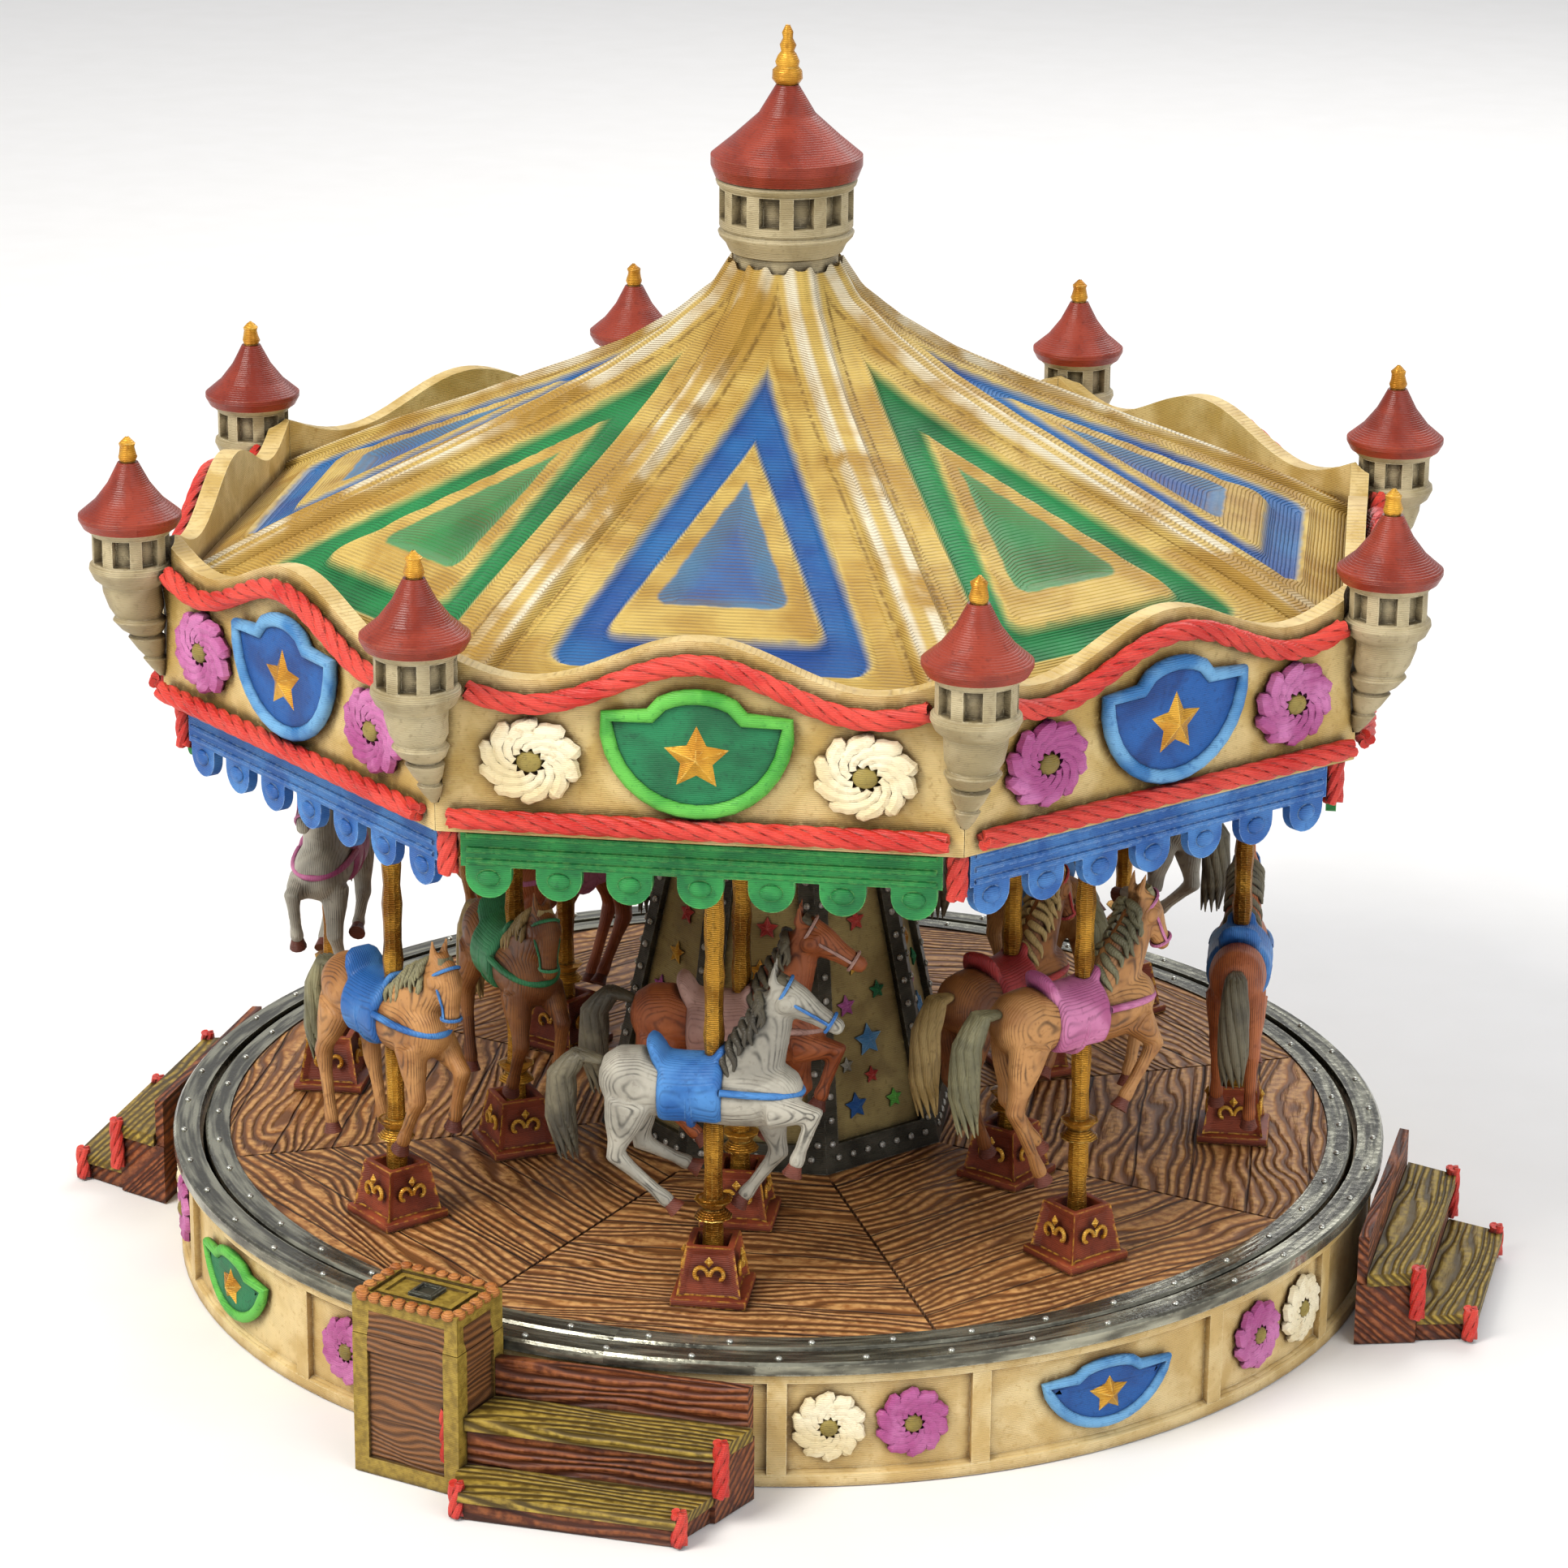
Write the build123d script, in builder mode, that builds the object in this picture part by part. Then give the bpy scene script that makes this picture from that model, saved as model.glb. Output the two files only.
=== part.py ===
from build123d import *
import math
import os

# Table-top merry-go-round: a round base with four flights of steps and a booth, and a
# rotor of deck, column, canopy and fourteen horses that slide up and down on poles.
# Millimetres. Z is up, the origin is at the centre of the base's underside, and the
# steps beside the booth face -Y. Angles are counted about Z from -Y towards +X.

# ---- clearances ----------------------------------------------------------------
seat_gap = 0.1          # between a piece and the curved wall that it sits on
edge_gap = 0.05         # between the ends of pieces that butt together
run_fit = 0.06          # radial clearance of a part that slides or turns
glue_fit = 0.02         # radial clearance of a glued bore
ring_gap = 1.0          # between the still ring and the turning ring

# ---- base ----------------------------------------------------------------------
floor_thick = 2.0
drum_height = 18.5
drum_radius = 100.0     # over the frames and bands
panel_depth = 1.2       # how far the panels lie back from the frames
plinth_height = 1.8
cornice_height = 1.6
fixed_ring_overhang = 0.8
fixed_ring_width = 4.3
fixed_ring_height = 2.0
rivet_radius = 0.55
rivet_count = 48
pilaster_angle = 12.3   # of the shield panel's pilasters, from its middle
pilaster_arc = 1.7
stair_count = 4
stair_half_angle = 14.0

# ---- turning deck --------------------------------------------------------------
rotor_turn = 7.4        # how far the rotor stands turned from the front steps
side_count = 8
deck_thick = 2.7
deck_rise = 1.7         # of the deck above the drum
rotor_ring_width = 4.0
rotor_ring_lip = 3.5
rotor_ring_lip_thick = 1.2
rotor_ring_rise = 0.3   # of the ring above the deck
hub_radius = 10.0
hub_flange_radius = 32.0
hub_flange_thick = 2.0
spindle_radius = 5.0
spindle_flange_radius = 14.0
spindle_flange_thick = 2.5
washer_thick = 0.8
washer_radius = 9.0

# ---- steps ---------------------------------------------------------------------
low_tread_top = 4.6
low_tread_thick = 1.6
low_tread_reach = 18.7  # from the steps' back to the tread's front
low_tread_half = 16.8
high_tread_top = 12.4
high_tread_thick = 2.1
high_tread_reach = 10.1
high_tread_half = 20.6
wall_clearance = 1.3    # of the steps and the booth from the drum
stair_back_half = 24.3
tread_nose = 0.8        # how far a tread stands out past its boards
riser_thick = 1.6
stair_rope_radius = 1.25

# ---- booth ---------------------------------------------------------------------
booth_angle = -14.05
booth_depth = 12.6
booth_width = 18.5
booth_wall = 1.8
booth_seam = 22.7
booth_height = 29.0
booth_seam_gap = 0.1
booth_post = 2.6
booth_panel_depth = 0.5
booth_lid_skirt = 2.5
booth_slot_long = 3.2
booth_slot_short = 1.4
booth_rim_height = 0.7

# ---- poles ---------------------------------------------------------------------
outer_count = 8
outer_radius = 76.0
inner_count = 6
inner_radius = 46.5
pole_radius = 1.7
lug_radius = 3.1
lug_half_height = 1.5
foot_radius = 3.2
foot_height = 2.0
lift_travel = 11.5
lift_play = 0.3         # left between the foot and the deck at the top of the lift
wave_mean = 5.8
wave_swing = 5.2
wave_count = 3
wave_start = -116.0
inner_lift = 2.4

# ---- pedestals -----------------------------------------------------------------
pedestal_height = 9.2
pedestal_foot = 11.8
pedestal_top = 7.6
pedestal_well = 5.2
pedestal_well_depth = 4.5
pedestal_bore_gap = 0.2

# ---- column --------------------------------------------------------------------
column_foot_radius = 30.5   # to the corners, over the metal frames
column_head_radius = 13.5
frame_thick = 1.2
frame_bar = 2.6         # half the width of the frames along the edges
frame_foot_bar = 4.6
frame_head_bar = 4.0
column_wall = 2.0

# ---- canopy --------------------------------------------------------------------
head_room = 78.4        # from the deck to the ceiling
ceiling_thick = 2.5
fascia_face = 93.0      # distance of each board's face from the axis
fascia_thick = 3.0
fascia_rise = 27.1      # of the wavy top edge's mean over the ceiling's underside
fascia_wave = 3.5
fascia_wave_half = 25.0
guide_radius = 3.2
guide_height = 4.0
mast_radius = 5.0
roof_thick = 2.0
neck_radius = 9.6
neck_rise = 64.9        # of the roof's neck over the ceiling's underside
rib_width = 5.6
rope_radius = 1.55
valance_setback = 2.4   # of the valance's face behind the board's
valance_thick = 2.0
valance_half = 35.3
valance_band = 6.0
valance_drop = 10.8
lobe_count = 7
corner_post_radius = 1.6
corner_post_drop = 7.3

# ---- turrets -------------------------------------------------------------------
turret_offset = 12.0    # of a turret's axis beyond the boards' faces
turret_rise = 29.0      # of the turrets' drums over the ceiling's underside
turret_eave_radius = 8.0
finial_rise = 39.2

# ---- worked out ----------------------------------------------------------------
fixed_ring_radius = drum_radius + fixed_ring_overhang
stair_back = drum_radius + wall_clearance
low_tread_front = stair_back + low_tread_reach
high_tread_front = stair_back + high_tread_reach
booth_back = drum_radius + wall_clearance
deck_top = drum_height + deck_rise
ceiling_base = deck_top + head_room
valance_face = fascia_face - valance_setback
fascia_mid = ceiling_base + fascia_rise
neck_height = ceiling_base + neck_rise
corner_post_bottom = ceiling_base - corner_post_drop
turret_top = ceiling_base + turret_rise
finial_base = ceiling_base + finial_rise
turret_axis = fascia_face + turret_offset
panel_radius = drum_radius - panel_depth
ring_inner = fixed_ring_radius - fixed_ring_width
wall_inner = ring_inner - 0.5
rotor_radius = ring_inner - ring_gap
deck_radius = rotor_radius - rotor_ring_width
deck_base = deck_top - deck_thick
hub_base = floor_thick + spindle_flange_thick + washer_thick + run_fit
lug_low = deck_top + pedestal_height + lug_half_height + 0.1
foot_top_low = deck_base - lift_play - lift_travel
half_turn = 180.0 / side_count
ceiling_top = ceiling_base + ceiling_thick
ceiling_apothem = fascia_face - fascia_thick
pole_top_low = ceiling_top + guide_height + 0.5
stem_bottom = ceiling_base - 6.0


def front_plane(distance, height=0.0):
    """A standing plane that faces -Y, at a distance from the axis."""
    return Plane(origin=(0, -distance, height), x_dir=(1, 0, 0), z_dir=(0, -1, 0))


def around(count, turn=0.0):
    """The places that repeat a piece about the axis."""
    return PolarLocations(0, count, turn)


def corner_radius(apothem):
    return apothem / math.cos(math.radians(half_turn))


def spot(radius, angle, height=0.0):
    """The place at a radius and an angle from -Y, turned to face outwards."""
    turn = math.radians(angle)
    return Location((radius * math.sin(turn), -radius * math.cos(turn), height), (0, 0, angle))


def write(builder, label):
    builder.part.label = label
    export_step(builder.part, "parts/" + label + ".step")


def revolved(points):
    """Turns a closed outline of (radius, height) points about Z, in the open builder."""
    with BuildSketch(Plane.XZ) as profile:
        with BuildLine():
            Polyline(*points, close=True)
        make_face()
    revolve(profile.sketch, axis=Axis.Z)


os.makedirs("parts", exist_ok=True)

# ================================================================== base ========

with BuildPart() as base_floor:
    Cylinder(wall_inner - seat_gap, floor_thick, align=(Align.CENTER, Align.CENTER, Align.MIN))
    with Locations((0, 0, floor_thick)):
        Cylinder(
            spindle_flange_radius + 3.0,
            1.2,
            align=(Align.CENTER, Align.CENTER, Align.MIN),
        )
        Cylinder(
            spindle_flange_radius + seat_gap,
            1.2,
            align=(Align.CENTER, Align.CENTER, Align.MIN),
            mode=Mode.SUBTRACT,
        )
write(base_floor, "base_floor")

with BuildPart() as base_drum:
    cornice_base = drum_height - cornice_height
    revolved([
        (wall_inner, 0),
        (drum_radius, 0),
        (drum_radius, plinth_height),
        (panel_radius, plinth_height + 0.6),
        (panel_radius, cornice_base - 0.6),
        (drum_radius, cornice_base),
        (drum_radius, drum_height),
        (wall_inner, drum_height),
    ])
    pilaster_angles = []
    for quarter in range(stair_count):
        middle = 45.0 + 90.0 * quarter
        edge = 45.0 - stair_half_angle - pilaster_arc / 2
        for offset_angle in (-edge, -pilaster_angle, pilaster_angle, edge):
            pilaster_angles.append(middle + offset_angle)
    for pilaster in pilaster_angles:
        with BuildSketch(Plane.XZ.rotated((0, 0, pilaster - 90 - pilaster_arc / 2))):
            with Locations(((panel_radius + drum_radius) / 2 - 0.2, drum_height / 2)):
                Rectangle(panel_depth + 0.2, drum_height - 1.0)
        revolve(axis=Axis.Z, revolution_arc=pilaster_arc)
write(base_drum, "base_drum")

with BuildPart() as fixed_ring:
    ring_top = drum_height + fixed_ring_height
    revolved([
        (ring_inner, drum_height),
        (fixed_ring_radius, drum_height),
        (fixed_ring_radius, ring_top - 0.4),
        (fixed_ring_radius - 0.4, ring_top),
        (ring_inner, ring_top),
    ])
    with Locations((0, 0, ring_top - 0.1)):
        with PolarLocations(fixed_ring_radius - fixed_ring_width / 2 + 0.4, rivet_count):
            Sphere(rivet_radius)
write(fixed_ring, "fixed_ring")

with BuildPart() as spindle:
    with Locations((0, 0, floor_thick)):
        Cylinder(
            spindle_flange_radius,
            spindle_flange_thick,
            align=(Align.CENTER, Align.CENTER, Align.MIN),
        )
        Cylinder(
            spindle_radius,
            deck_top - floor_thick - 1.0,
            align=(Align.CENTER, Align.CENTER, Align.MIN),
        )
    chamfer(spindle.faces().sort_by(Axis.Z)[-1].edges(), 0.6)
write(spindle, "spindle")

with BuildPart() as thrust_washer:
    with BuildSketch(Plane.XY.offset(floor_thick + spindle_flange_thick)):
        Circle(washer_radius)
        Circle(spindle_radius + run_fit, mode=Mode.SUBTRACT)
    extrude(amount=washer_thick)
write(thrust_washer, "thrust_washer")


def booth_outline(extra, depth_extra=0.0):
    """Sketches the booth's plan, grown by extra, in the open builder's sketch."""
    middle = booth_back + booth_depth / 2
    with Locations(spot(middle, booth_angle)):
        Rectangle(booth_width + 2 * extra, booth_depth + 2 * extra + depth_extra)


def stair_outline(front, front_half, back=stair_back, back_half=stair_back_half):
    """Sketches the plan of a step: a back edge at the drum and a narrower front edge."""
    with BuildLine() as outline:
        Polyline(
            (-back_half, -back),
            (-front_half, -front),
            (front_half, -front),
            (back_half, -back),
            close=True,
        )
    make_face(outline.edges())


def half_at(distance):
    """Half the width of the steps at a distance from the axis."""
    share = (distance - stair_back) / (high_tread_front - stair_back)
    return stair_back_half + (high_tread_half - stair_back_half) * share


# the boards end short of the treads' edges by the nose
low_front = low_tread_front - tread_nose
high_front = high_tread_front - tread_nose
low_boards_top = low_tread_top - low_tread_thick
high_boards_top = high_tread_top - high_tread_thick

with BuildPart() as stair_core:
    with BuildSketch():
        stair_outline(
            low_front,
            low_tread_half - tread_nose,
            high_front + edge_gap,
            half_at(high_front) - 2 * tread_nose,
        )
    extrude(amount=low_boards_top)
    with BuildSketch():
        stair_outline(high_front, half_at(high_front) - tread_nose, stair_back, stair_back_half - tread_nose)
    extrude(amount=high_boards_top)
    with BuildSketch(Plane.XY.offset(high_boards_top)):
        with BuildLine():
            Polyline(
                (-stair_back_half + 1.0, -stair_back),
                (-stair_back_half + 1.4, -stair_back - riser_thick),
                (stair_back_half - 1.4, -stair_back - riser_thick),
                (stair_back_half - 1.0, -stair_back),
                close=True,
            )
        make_face()
    extrude(amount=drum_height - high_boards_top)

with BuildPart() as stair_boards:
    with around(stair_count):
        add(stair_core.part)
    with BuildSketch():
        booth_outline(seat_gap, 2.0)
    extrude(amount=booth_height, mode=Mode.SUBTRACT)
write(stair_boards, "stair_boards")

with BuildPart() as tread_pair:
    with BuildSketch(Plane.XY.offset(low_boards_top)):
        stair_outline(low_tread_front, low_tread_half, high_front + seat_gap, half_at(high_front) - 1.0)
    extrude(amount=low_tread_thick)
    with BuildSketch(Plane.XY.offset(high_boards_top)):
        stair_outline(
            high_tread_front,
            high_tread_half,
            stair_back + riser_thick + seat_gap,
            half_at(stair_back + riser_thick),
        )
    extrude(amount=high_tread_thick)

with BuildPart() as stair_treads:
    with around(stair_count):
        add(tread_pair.part)
    with BuildSketch():
        booth_outline(seat_gap, 2.0)
    extrude(amount=booth_height, mode=Mode.SUBTRACT)
write(stair_treads, "stair_treads")

with BuildPart() as stair_ropes:
    low_x = low_tread_half + 0.2
    high_x = high_tread_half + 0.4
    low_y = low_tread_front - 0.9
    high_y = high_tread_front - 0.6
    with around(stair_count):
        with Locations((low_x, -low_y, 0), (-low_x, -low_y, 0)):
            Cylinder(
                stair_rope_radius,
                low_boards_top + 0.9,
                align=(Align.CENTER, Align.CENTER, Align.MIN),
            )
        with Locations((high_x, -high_y, 0), (-high_x, -high_y, 0)):
            Cylinder(
                stair_rope_radius,
                high_boards_top,
                align=(Align.CENTER, Align.CENTER, Align.MIN),
            )
    with around(stair_count):
        add(tread_pair.part, mode=Mode.SUBTRACT)
    with around(stair_count):
        add(stair_core.part, mode=Mode.SUBTRACT)
    with BuildSketch():
        booth_outline(seat_gap, 2.0)
    extrude(amount=booth_height, mode=Mode.SUBTRACT)
write(stair_ropes, "stair_ropes")


def shield_outline(width, height):
    """Sketches a shield: a round foot, two shoulders and a raised crown."""
    half = width / 2
    low = -height * 0.5
    shoulder = height * 0.30
    crown = height * 0.5
    with BuildLine() as outline:
        ThreePointArc((-half, shoulder), (0, low), (half, shoulder))
        Line((half, shoulder), (half * 0.52, shoulder + height * 0.02))
        ThreePointArc(
            (half * 0.52, shoulder + height * 0.02),
            (0, crown),
            (-half * 0.52, shoulder + height * 0.02),
        )
        Line((-half * 0.52, shoulder + height * 0.02), (-half, shoulder))
    make_face(outline.edges())


def star_outline(radius, inner_share=0.46, turn=90.0):
    """Sketches a five-pointed star with one point upwards."""
    points = []
    for index in range(10):
        reach = radius if index % 2 == 0 else radius * inner_share
        angle = math.radians(turn + 36.0 * index)
        points.append((reach * math.cos(angle), reach * math.sin(angle)))
    with BuildLine() as outline:
        Polyline(*points, close=True)
    make_face(outline.edges())


base_ornament_height = 9.6
with BuildPart() as base_shield:
    with BuildSketch(front_plane(panel_radius - 1.5, base_ornament_height)):
        shield_outline(23.5, 11.6)
    extrude(amount=1.5 + 0.9)
    with BuildSketch(front_plane(panel_radius + 0.8, base_ornament_height - 0.3)):
        star_outline(4.6)
    extrude(amount=0.9)
    Cylinder(panel_radius + seat_gap, 60.0, mode=Mode.SUBTRACT)

with BuildPart() as base_shields:
    with around(stair_count, 45.0):
        add(base_shield.part)
write(base_shields, "base_shields")

base_rosette_radius = 5.8
base_rosette_angles = (19.3, 26.6)
with BuildPart() as base_rosette:
    with BuildSketch(front_plane(panel_radius - 0.5, base_ornament_height)):
        Circle(base_rosette_radius)
    extrude(amount=0.5 + 0.9)
    with BuildSketch(front_plane(panel_radius + 0.8, base_ornament_height)):
        Circle(base_rosette_radius * 0.62)
    extrude(amount=0.7)
    Cylinder(panel_radius + seat_gap, 60.0, mode=Mode.SUBTRACT)

with BuildPart() as base_rosettes:
    for quarter in range(stair_count):
        for rosette_angle in base_rosette_angles:
            for side in (-1, 1):
                with Locations(spot(0, 90.0 * quarter + side * rosette_angle)):
                    add(base_rosette.part)
write(base_rosettes, "base_rosettes")

# ---- booth ----------------------------------------------------------------------
booth_middle = booth_back + booth_depth / 2
booth_well_wide = booth_width - 2 * booth_wall
booth_well_deep = booth_depth - 2 * booth_wall


def booth_plane(height=0.0):
    """The booth's own plan plane: local X along its front, local -Y outwards."""
    return Plane(spot(booth_middle, booth_angle, height))


with BuildPart() as booth_body:
    with BuildSketch(booth_plane()):
        Rectangle(booth_width, booth_depth)
    extrude(amount=booth_seam - booth_seam_gap)
    with BuildSketch(booth_plane(booth_wall)):
        Rectangle(booth_well_wide, booth_well_deep)
    extrude(amount=booth_seam, mode=Mode.SUBTRACT)
    booth_panel_high = booth_seam - 2 * booth_post
    with BuildSketch(booth_plane(booth_post)):
        with Locations((0, -booth_depth / 2)):
            Rectangle(booth_width - 2 * booth_post, 2 * booth_panel_depth)
        with Locations((booth_width / 2, 0), (-booth_width / 2, 0)):
            Rectangle(2 * booth_panel_depth, booth_depth - 2 * booth_post)
    extrude(amount=booth_panel_high, mode=Mode.SUBTRACT)
write(booth_body, "booth_body")

with BuildPart() as booth_lid:
    with BuildSketch(booth_plane(booth_seam)):
        Rectangle(booth_width, booth_depth)
    extrude(amount=booth_height - booth_seam)
    with BuildSketch(booth_plane(booth_seam - booth_lid_skirt)):
        Rectangle(booth_well_wide - 0.3, booth_well_deep - 0.3)
    extrude(amount=booth_lid_skirt)
    with BuildSketch(booth_plane(booth_seam - booth_lid_skirt)):
        Rectangle(booth_well_wide - 3.0, booth_well_deep - 3.0)
    extrude(amount=booth_height - booth_seam + booth_lid_skirt - booth_wall, mode=Mode.SUBTRACT)
    with BuildSketch(booth_plane(booth_height)):
        Rectangle(booth_width, booth_depth)
        Rectangle(booth_width - 4.4, booth_depth - 4.4, mode=Mode.SUBTRACT)
    extrude(amount=booth_rim_height)
    with BuildSketch(booth_plane(booth_height)):
        Rectangle(booth_slot_long + 3.0, booth_slot_short + 2.6)
    extrude(amount=booth_rim_height)
    with BuildSketch(booth_plane(booth_height - booth_wall - 0.5)):
        Rectangle(booth_slot_long, booth_slot_short)
    extrude(amount=booth_wall + 2.0, mode=Mode.SUBTRACT)
write(booth_lid, "booth_lid")

# ================================================================== deck ========


def pole_places():
    """Yields the radius and angle of every pole on the rotor, outer row first."""
    places = []
    for index in range(outer_count):
        places.append((outer_radius, rotor_turn + index * 360.0 / outer_count))
    for index in range(inner_count):
        places.append((inner_radius, rotor_turn + index * 360.0 / inner_count))
    return places


def pole_spots(height=0.0):
    spots = []
    for radius, angle in pole_places():
        spots.append(spot(radius, angle, height))
    return Locations(*spots)


with BuildPart() as deck:
    with BuildSketch(Plane.XY.offset(deck_base)):
        Circle(deck_radius)
        Circle(spindle_radius + 1.5, mode=Mode.SUBTRACT)
        with pole_spots():
            Circle(pole_radius + run_fit, mode=Mode.SUBTRACT)
    extrude(amount=deck_thick)
    seam_depth = 0.4
    with around(side_count, rotor_turn + half_turn):
        with Locations((0, -(deck_radius + column_foot_radius) / 2 - 1.0, deck_top)):
            Box(0.5, deck_radius - column_foot_radius - 3.0, 2 * seam_depth, mode=Mode.SUBTRACT)
write(deck, "deck")

with BuildPart() as rotor_ring:
    rotor_ring_top = deck_top + rotor_ring_rise
    revolved([
        (deck_radius - rotor_ring_lip, deck_base - rotor_ring_lip_thick),
        (rotor_radius, deck_base - rotor_ring_lip_thick),
        (rotor_radius, rotor_ring_top - 0.4),
        (rotor_radius - 0.4, rotor_ring_top),
        (deck_radius + seat_gap, rotor_ring_top),
        (deck_radius + seat_gap, deck_base),
        (deck_radius - rotor_ring_lip, deck_base),
    ])
    with Locations((0, 0, rotor_ring_top - 0.1)):
        with PolarLocations(deck_radius + rotor_ring_width / 2, rivet_count, 3.0):
            Sphere(rivet_radius)
write(rotor_ring, "rotor_ring")

with BuildPart() as deck_hub:
    revolved([
        (spindle_radius + run_fit, hub_base),
        (hub_radius, hub_base),
        (hub_radius, deck_base - hub_flange_thick - 2.0),
        (hub_radius + 2.0, deck_base - hub_flange_thick),
        (hub_flange_radius, deck_base - hub_flange_thick),
        (hub_flange_radius, deck_base),
        (spindle_radius + run_fit, deck_base),
    ])
    with PolarLocations(hub_flange_radius - 6.0, 6, 30.0):
        with Locations((0, 0, deck_base)):
            CounterSinkHole(1.2, 2.2, depth=hub_flange_thick)
write(deck_hub, "deck_hub")

with BuildPart() as pedestal:
    with BuildSketch(Plane.XY.offset(deck_top)):
        Rectangle(pedestal_foot, pedestal_foot)
    with BuildSketch(Plane.XY.offset(deck_top + pedestal_height)):
        Rectangle(pedestal_top, pedestal_top)
    loft()
    with BuildSketch(Plane.XY.offset(deck_top + pedestal_height - pedestal_well_depth)):
        Rectangle(pedestal_well, pedestal_well)
    extrude(amount=pedestal_well_depth, mode=Mode.SUBTRACT)
    with BuildSketch(Plane.XY.offset(deck_top)):
        Circle(pole_radius + pedestal_bore_gap)
    extrude(amount=pedestal_height, mode=Mode.SUBTRACT)

with BuildPart() as pedestals:
    with pole_spots():
        add(pedestal.part)
write(pedestals, "pedestals")

# ================================================================ column ========
column_height = ceiling_base - deck_top


def octagon(radius):
    """Sketches the rotor's octagon, one side facing -Y before the rotor's turn."""
    RegularPolygon(radius=radius, side_count=side_count, rotation=rotor_turn - 90 + half_turn)


def frustum(foot, head, mode=Mode.ADD):
    """Lofts the column's taper between two corner radii, in the open builder."""
    with BuildSketch(Plane.XY.offset(deck_top)) as foot_outline:
        octagon(foot)
    with BuildSketch(Plane.XY.offset(ceiling_base)) as head_outline:
        octagon(head)
    loft([foot_outline.sketch, head_outline.sketch], ruled=True, mode=mode)


frame_radial = corner_radius(frame_thick)
core_foot = column_foot_radius - frame_radial
core_head = column_head_radius - frame_radial

with BuildPart() as column_core:
    frustum(core_foot, core_head)
    frustum(core_foot - column_wall * 1.1, core_head - column_wall * 1.1, Mode.SUBTRACT)
write(column_core, "column_core")

column_lean = math.degrees(
    math.atan((column_foot_radius - column_head_radius) * math.cos(math.radians(half_turn)) / column_height)
)
foot_half = column_foot_radius * math.sin(math.radians(half_turn))
head_half = column_head_radius * math.sin(math.radians(half_turn))
foot_apothem = column_foot_radius * math.cos(math.radians(half_turn))
slope_length = column_height / math.cos(math.radians(column_lean))


def panel_plane(depth=0.0):
    """The leaning plane of the front panel, at a depth behind the frames' face."""
    lean = math.radians(column_lean)
    return Plane(
        origin=(0, -foot_apothem + depth * math.cos(lean), deck_top - depth * math.sin(lean)),
        x_dir=(1, 0, 0),
        z_dir=(0, -math.cos(lean), math.sin(lean)),
    )


panel_depth_in = frame_thick * math.cos(math.radians(column_lean))

with BuildPart() as panel_window:
    with BuildSketch(panel_plane(panel_depth_in)):
        with BuildLine():
            bottom = frame_foot_bar
            top = slope_length - frame_head_bar
            bottom_half = foot_half + (head_half - foot_half) * bottom / slope_length - frame_bar
            top_half = foot_half + (head_half - foot_half) * top / slope_length - frame_bar
            Polyline(
                (-bottom_half, bottom),
                (bottom_half, bottom),
                (top_half, top),
                (-top_half, top),
                close=True,
            )
        make_face()
    extrude(amount=3 * frame_thick)

with BuildPart() as column_frames:
    frustum(column_foot_radius, column_head_radius)
    frustum(core_foot, core_head, Mode.SUBTRACT)
    with around(side_count, rotor_turn):
        add(panel_window.part, mode=Mode.SUBTRACT)
write(column_frames, "column_frames")

# five-pointed stars on each panel: (across, up the slope, radius)
panel_stars = (
    (-3.4, 9.5, 2.9),
    (3.8, 8.8, 2.4),
    (0.2, 17.5, 3.2),
    (-3.4, 25.5, 2.1),
    (2.8, 27.5, 2.8),
    (0, 38.5, 2.4),
)
with BuildPart() as star_group:
    with BuildSketch(panel_plane(panel_depth_in)):
        for across, upward, star_radius in panel_stars:
            with Locations((across, upward)):
                RegularPolygon(radius=star_radius * 0.62, side_count=5, rotation=90)
    extrude(amount=0.7)

with BuildPart() as column_stars:
    with around(side_count, rotor_turn):
        add(star_group.part)
write(column_stars, "column_stars")

# ================================================================ canopy ========
with BuildPart() as canopy_frame:
    with BuildSketch(Plane.XY.offset(ceiling_base)):
        octagon(corner_radius(ceiling_apothem))
        Circle(mast_radius + seat_gap, mode=Mode.SUBTRACT)
        with pole_spots():
            Circle(pole_radius + run_fit, mode=Mode.SUBTRACT)
    extrude(amount=ceiling_thick)
    with BuildSketch(Plane.XY.offset(ceiling_top)):
        with pole_spots():
            Circle(guide_radius)
            Circle(pole_radius + run_fit, mode=Mode.SUBTRACT)
    extrude(amount=guide_height)
    with BuildSketch(Plane.XY.offset(ceiling_top)):
        Circle(mast_radius + 4.0)
        Circle(mast_radius + seat_gap, mode=Mode.SUBTRACT)
    extrude(amount=guide_height)
write(canopy_frame, "canopy_frame")

# the roof's corner line, under the ribs: (radius, height)
roof_line = (
    (neck_radius, neck_height),
    (13.0, ceiling_base + 59.8),
    (20.0, ceiling_base + 54.6),
    (30.0, ceiling_base + 49.0),
    (42.0, ceiling_base + 43.4),
    (55.0, ceiling_base + 38.0),
    (68.0, ceiling_base + 32.6),
    (80.0, ceiling_base + 27.6),
    (90.0, ceiling_base + 23.0),
    (corner_radius(ceiling_apothem - edge_gap), ceiling_base + 19.4),
)
# the ribs' crest line: (radius, height)
rib_line = (
    (neck_radius, neck_height + 1.6),
    (12.0, ceiling_base + 62.6),
    (16.0, ceiling_base + 59.8),
    (22.0, ceiling_base + 56.2),
    (29.5, ceiling_base + 52.2),
    (40.0, ceiling_base + 47.2),
    (51.0, ceiling_base + 42.7),
    (63.0, ceiling_base + 38.1),
    (75.0, ceiling_base + 33.4),
    (86.0, ceiling_base + 28.8),
    (96.0, ceiling_base + 24.0),
)


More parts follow.
